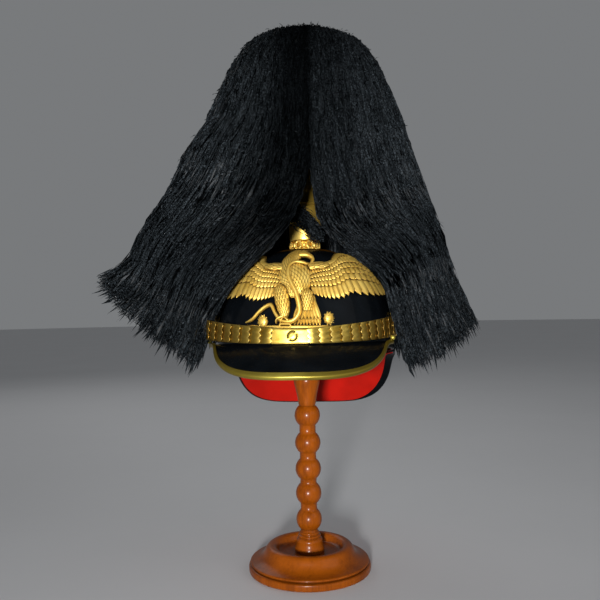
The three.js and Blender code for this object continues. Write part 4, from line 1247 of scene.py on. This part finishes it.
# Where the locks beside the parting hang at the top and at the tips, how far the slit over the funnel opens,
# from where to where the locks swing out under it, and how slowly they begin to.
PARTING_COLUMNS = ("top_deg", "slit_deg", "end_deg", "start", "stop", "slow")
PARTING = {"left": (-6.5, 6.5, 55.6, 0.539, 0.893, 1.89), "right": (8.5, 4.8, 57.2, 0.607, 0.809, 2.26)}
SLIT = (0.47, 0.68)
# A swelling of the left side, in mm: where it is in degrees from the front, how far it fades to each side of
# that, and where it is as a share of the way down.
SWELL = {"lift": 7.0, "turn": 97.0, "fade": (20, 45), "share": 0.575, "spread": 0.08}
# Length of a lock, in mm, by which strands go on past its tip.
PAST_TIPS = 420
# The hair's depth at the parting's edges, and the share of the way round over which it becomes full.
EDGE_DEPTH = {"least": 0.1, "full": 0.10}
# A stray lock across the funnel: four points that lead it, in mm, and how far its strands spread.
STRAY = ((-24, -62, 147), (0, -56, 143), (9, -48, 128), (17, -42, 119))
STRAY_SPREAD = (4.0, 3.0, 5.5)
STRAY_STRANDS = 260
STRAY_START = (-0.12, 0.15)
STRAY_STOP = (0.75, 1.1)
STRAND_SPANS = 45
# Long strands: how they crowd under the skin, where they end, how they drift and gather in locks, and how
# far they lift off at their ends, in mm.
STRAND = {
    "crowd": 1.6, "end": (-0.012, 0.018), "end_limits": (-0.06, 0.03), "drift": 0.014, "lock_spread": 0.12,
    "gather": 0.08, "gather_power": 1.5, "swell": 0.5, "lift": 1.5}
WISP_SPANS = 4
# Short strands, in mm: their length, how they turn and bend, where they lie, the plume's length and its way
# round, the lowest place, and the share of them that flies off, how far, and how the rest stray and wave.
WISP = {
    "size": (4.5, 11.0), "lean_deg": 36, "bend": 0.8, "lift": (-9.0, -0.5), "fall": 430.0, "round": 700.0,
    "lowest": 1.005, "flying": 0.03, "fly": (1, 6), "stray": 1.6, "crimp_part": 0.03}
# The share of a long strand that leads over the plume's flat top, its height over it, how far deep strands
# sink, where it starts as a share of the radius, and its arch.
CREST_SHARE = 0.07
CREST = {"over": 4.5, "sink": 0.25, "inner": (0.2, 0.75), "arch": 4.0, "fall": 0.4}
# How far strands stray over the parting's edges at the top, as a share of the way round.
STRAYING = 0.009
# Where the strands are shaded, and how much: in the parting's groove, beside the opening on each side, at
# the crest and at the tips. Reaches are in degrees round the plume, heights in mm.
GROOVE = {"deg": 7.5, "reach": (0.8, 5.0), "bottom": 170.0, "dark": 0.6}
SHADE = {
    "left": 0.85, "right": 0.45, "beside": (12, 42), "opening": (60, 110), "crest": 0.45,
    "crest_from": (270, 345), "tips": 0.3, "tips_to": (20, 90)}
LOCK_COUNT = 230
# Shares of the hair's glint that the strands of each kind take.
GLINTS = {"hair": (0.25, 0.60), "wisps": (0.3, 1.0), "stray_lock": (0.4, 1.0)}
# A dark sheet under the hair, in mm, inside the parting's edges, and the lower part of the plug that fills
# the funnel's mouth and the crest, as radius and height.
BACKING = {"edges": (0.012, 0.988), "share": 0.95, "depth": 11.0, "wall": 1.0}
PLUG_FOOT = ((AXIS, 277), (21, 277), (22.4, 285.4), (24.2, 285.4), (25, 300), (33, 325), (39, 338))
# Waves along a whole strand, and the part of the crimp's height that each takes.
CRIMPS = ((24.0, 0.8), (9.0, 1.0), (3.5, 1.0))


def plume_points(across, out, lift):
    """Points of the plume's skin as an array: across goes round from one front edge to the other, out down
    a lock, and lift is in mm off the skin."""
    p = plume_sizes()
    around = 2 * across - 1
    back = 1 - np.abs(around)
    left = around < 0

    def parting(name):
        index = PARTING_COLUMNS.index(name)
        return np.where(left, PARTING["left"][index], PARTING["right"][index])

    turn = mix(parting("end_deg"), 180, back)

    def column(name):
        index = LOCK_COLUMNS.index(name)
        both = [np.interp(turn, [row[0] for row in LOCKS[side]], [row[index] for row in LOCKS[side]])
                for side in ("left", "right")]
        return np.where(left, both[0], both[1])

    share = np.clip(out, 0, 1)
    rest = 1 - share
    beside = 1 - smoothstep(*SWELL["fade"], np.abs(turn - SWELL["turn"]))
    level = np.exp(-((share - SWELL["share"]) / SWELL["spread"]) ** 2)
    lift = lift + np.where(left, SWELL["lift"] * beside, 0) * level
    radii = (p.crest_radius / MM, column("hip"), column("knee"), column("end"))
    heights = (p.crest_height / MM, column("hip_height"), column("knee_height"), column("end_height"))

    def bezier(a, b, c, d):
        return rest ** 3 * a + 3 * rest ** 2 * share * b + 3 * rest * share ** 2 * c + share ** 3 * d

    def slope(a, b, c, d):
        return 3 * rest ** 2 * (b - a) + 6 * rest * share * (c - b) + 3 * share ** 2 * (d - c)

    fall, drop = slope(*radii), slope(*heights)
    size = np.hypot(fall, drop)
    fall, drop = fall / size, drop / size
    beyond = (out - share) * PAST_TIPS
    radius = bezier(*radii) + fall * beyond - drop * lift
    height = bezier(*heights) + drop * beyond + fall * lift
    hang = parting("top_deg") + parting("slit_deg") * smoothstep(*SLIT, share)
    opening = smoothstep(parting("start"), parting("stop"), share) ** parting("slow")
    angle = np.radians(mix(mix(hang, 180, back), turn, opening))
    side = np.where(left, -1, 1)
    return np.stack([side * radius * np.sin(angle), -radius * np.cos(angle), height], axis=-1)


def fullness(across):
    """How much of the hair's depth there is: little at the parting's edges, and all of it away from them."""
    return mix(EDGE_DEPTH["least"], 1, smoothstep(0, EDGE_DEPTH["full"], np.minimum(across, 1 - across)))


def within_edges(place, out):
    """Keeps strands from straying over the parting's edges, the more so the lower they are."""
    room = STRAYING * (1 - out)
    return np.clip(place, -room, 1 + room)


def strand_lines(rng, count):
    """Middle lines of a bundle of long strands, as count by points by 3."""
    p = plume_sizes()
    share = np.linspace(0, 1, STRAND_SPANS + 1)[None, :]
    across = rng.uniform(-STRAYING, 1 + STRAYING, (count, 1))
    aside = rng.normal(0, STRAND["lock_spread"], (count, 1))
    lock = (np.floor(across * LOCK_COUNT) + 0.5 + aside) / LOCK_COUNT
    deep = -p.depth / MM * rng.uniform(0, 1, (count, 1)) ** STRAND["crowd"] * fullness(across)
    end = 1 + np.clip(rng.normal(*STRAND["end"], (count, 1)), *STRAND["end_limits"])
    out = np.clip((share - CREST_SHARE) / (1 - CREST_SHARE), 0, 1) * end
    drift = rng.normal(0, STRAND["drift"], (count, 1)) * out
    gathered = STRAND["gather"] * out ** STRAND["gather_power"]
    place = within_edges(mix(across, lock, gathered) + drift, out)
    swell = STRAND["swell"] * np.sin(2 * np.pi * LOCK_COUNT * across) * out
    lift = deep + swell + rng.normal(0, STRAND["lift"], (count, 1)) * out
    points = plume_points(place, out, lift)
    return over_crest(rng, points, share, deep) + crimps(rng, count, share, 1.0)


def over_crest(rng, points, share, deep):
    """Leads the strands' first points over the plume's flat top."""
    count = len(points)
    first = points[:, math.ceil(CREST_SHARE * STRAND_SPANS), :][:, None, :]
    part = np.clip(share / CREST_SHARE, 0, 1)[..., None]
    top = plume_sizes().crest_height / MM + CREST["over"] + CREST["sink"] * deep[..., None]
    inner = np.concatenate([first[..., :2] * rng.uniform(*CREST["inner"], (count, 1, 1)), top], axis=-1)
    arch = mix(inner, first, part)
    arch[..., 2] += CREST["arch"] * np.sin(np.pi * part[..., 0]) * (1 - CREST["fall"] * part[..., 0])
    return np.where(part < 1, arch, points)


def crimps(rng, count, share, part_of_strand):
    """Small sideways waves of a strand, or of a part of one."""
    total = np.zeros((count, share.shape[-1], 3))
    for waves, part in CRIMPS:
        for axis in range(3):
            phase = rng.uniform(0, 2 * np.pi, (count, 1))
            rate = waves * part_of_strand * rng.uniform(0.7, 1.3, (count, 1))
            total[..., axis] += part * np.sin(2 * np.pi * rate * share + phase)
    return total * plume_sizes().crimp / MM


def wisp_lines(rng, count):
    """Middle lines of short strands that lie every way near the plume's skin."""
    share = np.linspace(0, 1, WISP_SPANS + 1)[None, :]
    size = rng.uniform(*WISP["size"], (count, 1))
    lean = rng.normal(0, math.radians(WISP["lean_deg"]), (count, 1))
    bend = rng.normal(0, WISP["bend"], (count, 1)) * size * share * (1 - share)
    down = size * np.cos(lean) * share - bend * np.sin(lean)
    aside = size * np.sin(lean) * share + bend * np.cos(lean)
    start = rng.uniform(0, 1, (count, 1)) * (WISP["lowest"] - size / WISP["fall"])
    place = within_edges(rng.uniform(0, 1, (count, 1)) + aside / WISP["round"], start)
    flies = rng.uniform(0, 1, (count, 1)) < WISP["flying"]
    fly = np.where(flies, rng.uniform(*WISP["fly"], (count, 1)), 0)
    lift = rng.uniform(*WISP["lift"], (count, 1)) * fullness(place)
    lift = lift + (fly + rng.normal(0, WISP["stray"], (count, 1))) * share
    points = plume_points(place, np.maximum(start + down / WISP["fall"], 0), lift)
    return points + crimps(rng, count, share, WISP["crimp_part"])


def hair_light(lines):
    """How far each point of the strands is lit: less where the tables of shades say so."""
    angle = np.degrees(np.arctan2(lines[..., 0], -lines[..., 1])) - GROOVE["deg"]
    height = lines[..., 2]
    out = np.linspace(0, 1, 80)
    lit = np.ones(height.shape)
    for name, side in SIDES.items():
        edge = plume_points(np.full(out.shape, (1 + side) / 2), out, 0)
        edge_angle = np.degrees(np.arctan2(edge[:, 0], -edge[:, 1])) - GROOVE["deg"]
        past = side * (angle - np.interp(height, edge[::-1, 2], edge_angle[::-1]))
        beside = (1 - smoothstep(*SHADE["beside"], np.abs(past))) * smoothstep(*SHADE["opening"], height)
        lit -= np.where(side * angle > 0, SHADE[name] * beside, 0)
    crest = SHADE["crest"] * smoothstep(*SHADE["crest_from"], height)
    tips = SHADE["tips"] * (1 - smoothstep(*SHADE["tips_to"], height))
    groove = GROOVE["dark"] * (1 - smoothstep(*GROOVE["reach"], np.abs(angle)))
    return lit * (1 - crest - tips) * (1 - groove * (height > GROOVE["bottom"]))


def stray_lines(rng, count):
    """Middle lines of the stray lock."""
    share = np.linspace(0, 1, STRAND_SPANS // 2)[None, :, None]
    spread = rng.normal(0, 1, (count, 1, 3)) * np.array(STRAY_SPREAD)
    start = rng.uniform(*STRAY_START, (count, 1, 1))
    stop = rng.uniform(*STRAY_STOP, (count, 1, 1))
    part = mix(start, stop, share)
    a, b, c, d = (np.array(point, dtype=float) for point in STRAY)
    rest = 1 - part
    line = rest ** 3 * a + 3 * rest ** 2 * part * b + 3 * rest * part ** 2 * c + part ** 3 * d
    return line + spread * (1 - 0.3 * part) + crimps(rng, count, share[..., 0], 0.2)


def ribbons(name, lines, widths, marks, seed):
    """Thin zigzag ribbons along many lines, as one mesh with a value of each mark at each point."""
    count, points = lines.shape[:2]
    ways = np.gradient(lines, axis=1)
    towards = np.random.default_rng(seed).normal(0, 1, (count, 1, 3))
    across = np.cross(ways, towards)
    across /= np.linalg.norm(across, axis=2, keepdims=True) + 1e-9
    zigzag = np.where(np.arange(points) % 2 == 0, -0.5, 0.5)[None, :, None]
    verts = (lines + across * widths[..., None] * zigzag).reshape(-1, 3)
    matrix = np.array(helmet_matrix())
    verts = verts @ matrix[:3, :3].T + matrix[:3, 3]
    first = (np.arange(count)[:, None] * points + np.arange(points - 2)[None, :]).reshape(-1)
    odd = np.tile(np.arange(points - 2) % 2, count)
    faces = np.stack([first + odd, first + 1 - odd, first + 2], axis=1)
    mesh = bpy.data.meshes.new(name)
    mesh.from_pydata(verts.tolist(), [], faces.tolist())
    for mark, values in marks.items():
        layer = mesh.attributes.new(mark, "FLOAT", "POINT")
        layer.data.foreach_set("value", values.astype(np.float32).reshape(-1))
    mesh.shade_smooth()
    show(name, mesh, finish_named("hair"), ["plume"])


class HELMET_OT_add_plume(bpy.types.Operator):
    """Adds the parted horsehair plume as bundles of strands over a dark backing"""

    bl_idname = "helmet.add_plume"
    bl_label = "Plume"

    def execute(self, context):
        p = plume_sizes()
        self.add_backing()
        kinds = (
            ("hair", strand_lines, p.strands, p.bundles),
            ("wisps", wisp_lines, p.wisps, p.wisp_bundles),
            ("stray_lock", stray_lines, STRAY_STRANDS, 1))
        seed = p.seed
        for kind, make_lines, count, bundles in kinds:
            for bundle in range(bundles):
                seed += 1
                rng = np.random.default_rng(seed)
                lines = make_lines(rng, count)
                points = lines.shape[1]
                share = np.linspace(0, 1, points)[None, :]
                width = p.hair_width / MM * rng.uniform(0.7, 1.25, (count, 1)) * (1 - 0.75 * share ** 5)
                glint = np.repeat(rng.uniform(*GLINTS[kind], count), points)
                marks = {"shade": glint, "lit": hair_light(lines)}
                ribbons(f"plume_{kind}_{bundle + 1}", lines, width, marks, seed)
        return {"FINISHED"}

    def add_backing(self):
        bm = bmesh.new()

        def place(across, out):
            around = np.array([mix(*BACKING["edges"], across)])
            down = np.array([BACKING["share"] * out])
            return Vector(plume_points(around, down, -BACKING["depth"] * fullness(around))[0])

        mapped_sheet(bm, 120, 40, place)
        p = plume_sizes()
        crest, top = p.crest_radius / MM, p.crest_height / MM
        head = [(crest - 10, top - 8), (crest - 12, top - 1), (36, top + 1), (AXIS, top + 2)]
        plug = turned([*PLUG_FOOT, *head], 64)
        mesh = bpy.data.meshes.new("plug")
        plug.to_mesh(mesh)
        plug.free()
        bm.from_mesh(mesh)
        bpy.data.meshes.remove(mesh)
        bmesh.ops.recalc_face_normals(bm, faces=bm.faces)
        piece = add_piece("plume_backing", bm, finish_named("backing"), ["plume"], crease=0)
        thicken(piece, BACKING["wall"], -1)


# Stand


# Profiles of radius and height, in mm.
BASE_PROFILE = (
    (64.5, 0), (66, 0.7), (66.5, 2), (66.5, 6), (65.9, 7.3), (64.6, 8.0), (63.5, 8.3), (63.9, 9.0),
    (64.8, 10), (64.5, 11.0), (63.4, 11.7), (61.5, 12.1), (59, 12.7), (55.8, 13.9), (53, 15.7), (50.8, 17.9),
    (49.3, 20.2), (48.1, 22.6), (46.6, 24.9), (44.6, 26.5), (42.4, 27.1), (40, 27.0), (38, 26.3),
    (36.3, 24.9), (35.1, 22.8), (33.8, 20.6), (31.6, 19.3), (29, 19.0),
)
BASE_DISH = 19
STEM_FOOT = (
    (16, 19.3), (16.2, 21), (15.8, 23.4), (14.8, 26.4), (14.3, 29), (14.3, 30.8), (13.7, 32.8),
    (12.4, 34.1), (11.8, 34.8), (12.4, 35.6), (12.5, 36.6), (11.3, 37.5), (10.6, 38.1), (11.0, 38.8),
    (11.0, 39.8), (9.8, 41),
)
STEM_HEAD = (
    (9.5, 180.2), (9.7, 181.5), (10.0, 184), (10.9, 189.5), (12.2, 195), (13.4, 200), (14.2, 204),
    (14.2, 206.5), (13.6, 208.8), (12.2, 211.2), (11, 213.4),
)
BALL_HEIGHTS = (54, 82.4, 109, 137.4, 167.4)
BALL_RADIUS = 14.0
BALL_STEPS = 14
WAIST_RADIUS = 8.9
CAP = {"radius": 38.0, "sphere": 60.0, "underside": 36.0, "steps": 12}


class HELMET_OT_add_stand(bpy.types.Operator):
    """Adds the turned stand: its dished base, its stem of five balls and the cap in the helmet"""

    bl_idname = "helmet.add_stand"
    bl_label = "Stand"

    def execute(self, context):
        wood = finish_named("wood")
        flat = Matrix.Scale(MM, 4)
        base = [(AXIS, 0), *smooth_line(BASE_PROFILE, 3), (AXIS, BASE_DISH)]
        add_piece("base_turned", turned(base, 128), wood, ["stand_base"], flat, 50)
        s = sizes()
        centre = s.rim_height / MM + (
            (s.height - s.wall) / MM - CAP["sphere"] - 1.4 * GAP) / math.cos(s.lean)
        underside = centre + CAP["underside"]
        reach = math.acos(WAIST_RADIUS / BALL_RADIUS)
        balls = []
        for height in BALL_HEIGHTS:
            for index in range(BALL_STEPS + 1):
                angle = mix(-reach, reach, index / BALL_STEPS)
                balls.append((BALL_RADIUS * math.cos(angle), height + BALL_RADIUS * math.sin(angle)))
        stem = [
            (AXIS, BASE_DISH + GAP), *smooth_line(STEM_FOOT, 3), *balls, *smooth_line(STEM_HEAD, 3),
            (STEM_HEAD[-1][0], underside - GAP), (AXIS, underside - GAP)]
        add_piece("stem_turned", turned(stem, 72), wood, ["stand_stem"], flat, 60)
        edge = math.asin(CAP["radius"] / CAP["sphere"])
        angles = [edge * (1 - index / CAP["steps"]) for index in range(CAP["steps"])]
        dome = [
            (CAP["sphere"] * math.sin(angle), centre + CAP["sphere"] * math.cos(angle)) for angle in angles]
        cap = [(AXIS, underside), (14, underside), (36.6, underside + 4.6), (CAP["radius"], underside + 6),
               *dome, (AXIS, centre + CAP["sphere"])]
        add_piece("cap_turned", turned(cap, 72), wood, ["stand_cap"], flat)
        return {"FINISHED"}


# Stage


# How far the horizon lies below the picture's middle and the stand's axis to the right of it, in pixels of
# a picture with this focal length.
FOCUS_PIXELS = 680
HORIZON_BELOW = 10
AXIS_RIGHT = 5.2
SENSOR_WIDTH = 36
FLOOR_RADIUS = 14
SKY_COLOUR = (0.94, 0.97, 1.0, 1)


class HELMET_OT_set_stage(bpy.types.Operator):
    """Sets the pale floor, the studio light and the camera"""

    bl_idname = "helmet.set_stage"
    bl_label = "Stage"

    def execute(self, context):
        scene = context.scene
        scene.view_settings.view_transform = "Standard"
        self.add_floor(scene)
        st = stage_sizes()
        key = self.add_light(
            scene, "key_light", place=(-0.08, -2.06, 0.34), aim=0.30, size=0.18, power=st.key)
        key.spread = st.beam
        self.add_light(scene, "fill_light", place=(1.5, -0.9, 1.2), aim=0.3, size=1.4, power=st.fill)
        self.add_light(scene, "back_light", place=(-0.9, 1.4, 1.5), aim=0.35, size=1.2, power=st.fill)
        self.set_sky(scene)
        self.add_camera(scene)
        return {"FINISHED"}

    def add_floor(self, scene):
        bm = bmesh.new()
        bmesh.ops.create_circle(bm, cap_ends=True, radius=FLOOR_RADIUS, segments=96)
        mesh = bpy.data.meshes.new("floor")
        bm.to_mesh(mesh)
        bm.free()
        mesh.materials.append(finish_named("floor"))
        floor = bpy.data.objects.new("floor", mesh)
        scene.collection.objects.link(floor)

    def add_light(self, scene, name, place, aim, size, power):
        """An area light at a place, aimed at a height on the stand's axis, in metres."""
        light = bpy.data.lights.new(name, "AREA")
        light.energy = power
        light.size = size
        lamp = bpy.data.objects.new(name, light)
        lamp.location = place
        way = Vector((0, 0, aim)) - Vector(place)
        lamp.rotation_euler = way.to_track_quat("-Z", "Y").to_euler()
        scene.collection.objects.link(lamp)
        return light

    def set_sky(self, scene):
        world = bpy.data.worlds.new("even light")
        world.use_nodes = True
        sky = world.node_tree.nodes["Background"]
        sky.inputs["Color"].default_value = SKY_COLOUR
        sky.inputs["Strength"].default_value = stage_sizes().sky
        scene.world = world

    def add_camera(self, scene):
        st = stage_sizes()
        away = Vector((-math.sin(st.azimuth), math.cos(st.azimuth), 0))
        right = Vector((math.cos(st.azimuth), math.sin(st.azimuth), 0))
        up = Vector((0, 0, 1))
        aside = up * HORIZON_BELOW - right * AXIS_RIGHT
        forward = (away + aside / FOCUS_PIXELS).normalized()
        right = forward.cross(up).normalized()
        up = right.cross(forward)
        side = right * math.cos(st.roll) - up * math.sin(st.roll)
        top = up * math.cos(st.roll) + right * math.sin(st.roll)
        data = bpy.data.cameras.new("camera")
        data.sensor_width = SENSOR_WIDTH
        data.lens = st.lens
        camera = bpy.data.objects.new("camera", data)
        turn = Matrix((side, top, -forward)).transposed().to_4x4()
        camera.matrix_world = Matrix.Translation(-away * st.distance + Vector((0, 0, st.eye))) @ turn
        scene.collection.objects.link(camera)
        scene.camera = camera


# Panel and registration


OPERATORS = (
    HELMET_OT_set_stage,
    HELMET_OT_add_stand,
    HELMET_OT_add_skull,
    HELMET_OT_add_peaks,
    HELMET_OT_add_edging,
    HELMET_OT_add_plate,
    HELMET_OT_add_crown_fitting,
    HELMET_OT_add_strap,
    HELMET_OT_add_clasp,
    HELMET_OT_add_rosettes,
    HELMET_OT_add_plume,
)


class HELMET_PT_pieces(bpy.types.Panel):
    bl_label = "Plumed helmet"
    bl_idname = "HELMET_PT_pieces"
    bl_space_type = "VIEW_3D"
    bl_region_type = "UI"
    bl_category = "Helmet"

    def draw(self, context):
        for group in SETTINGS:
            settings = getattr(context.scene, group)
            for name in settings.bl_rna.properties.keys():
                if name not in ("rna_type", "name"):
                    self.layout.prop(settings, name)
        for operator in OPERATORS:
            self.layout.operator(operator.bl_idname)


SETTINGS = {
    "helmet_sizes": HelmetSizes,
    "helmet_plume": PlumeSizes,
    "helmet_colours": FinishColours,
    "helmet_stage": StageSizes,
}
CLASSES = (*SETTINGS.values(), *OPERATORS, HELMET_PT_pieces)


def register():
    for each in CLASSES:
        bpy.utils.register_class(each)
    for name, group in SETTINGS.items():
        setattr(bpy.types.Scene, name, PointerProperty(type=group))


def unregister():
    for name in SETTINGS:
        delattr(bpy.types.Scene, name)
    for each in reversed(CLASSES):
        bpy.utils.unregister_class(each)


def main():
    register()
    for operator in OPERATORS:
        group, name = operator.bl_idname.split(".")
        getattr(getattr(bpy.ops, group), name)()


if __name__ == "__main__":
    main()
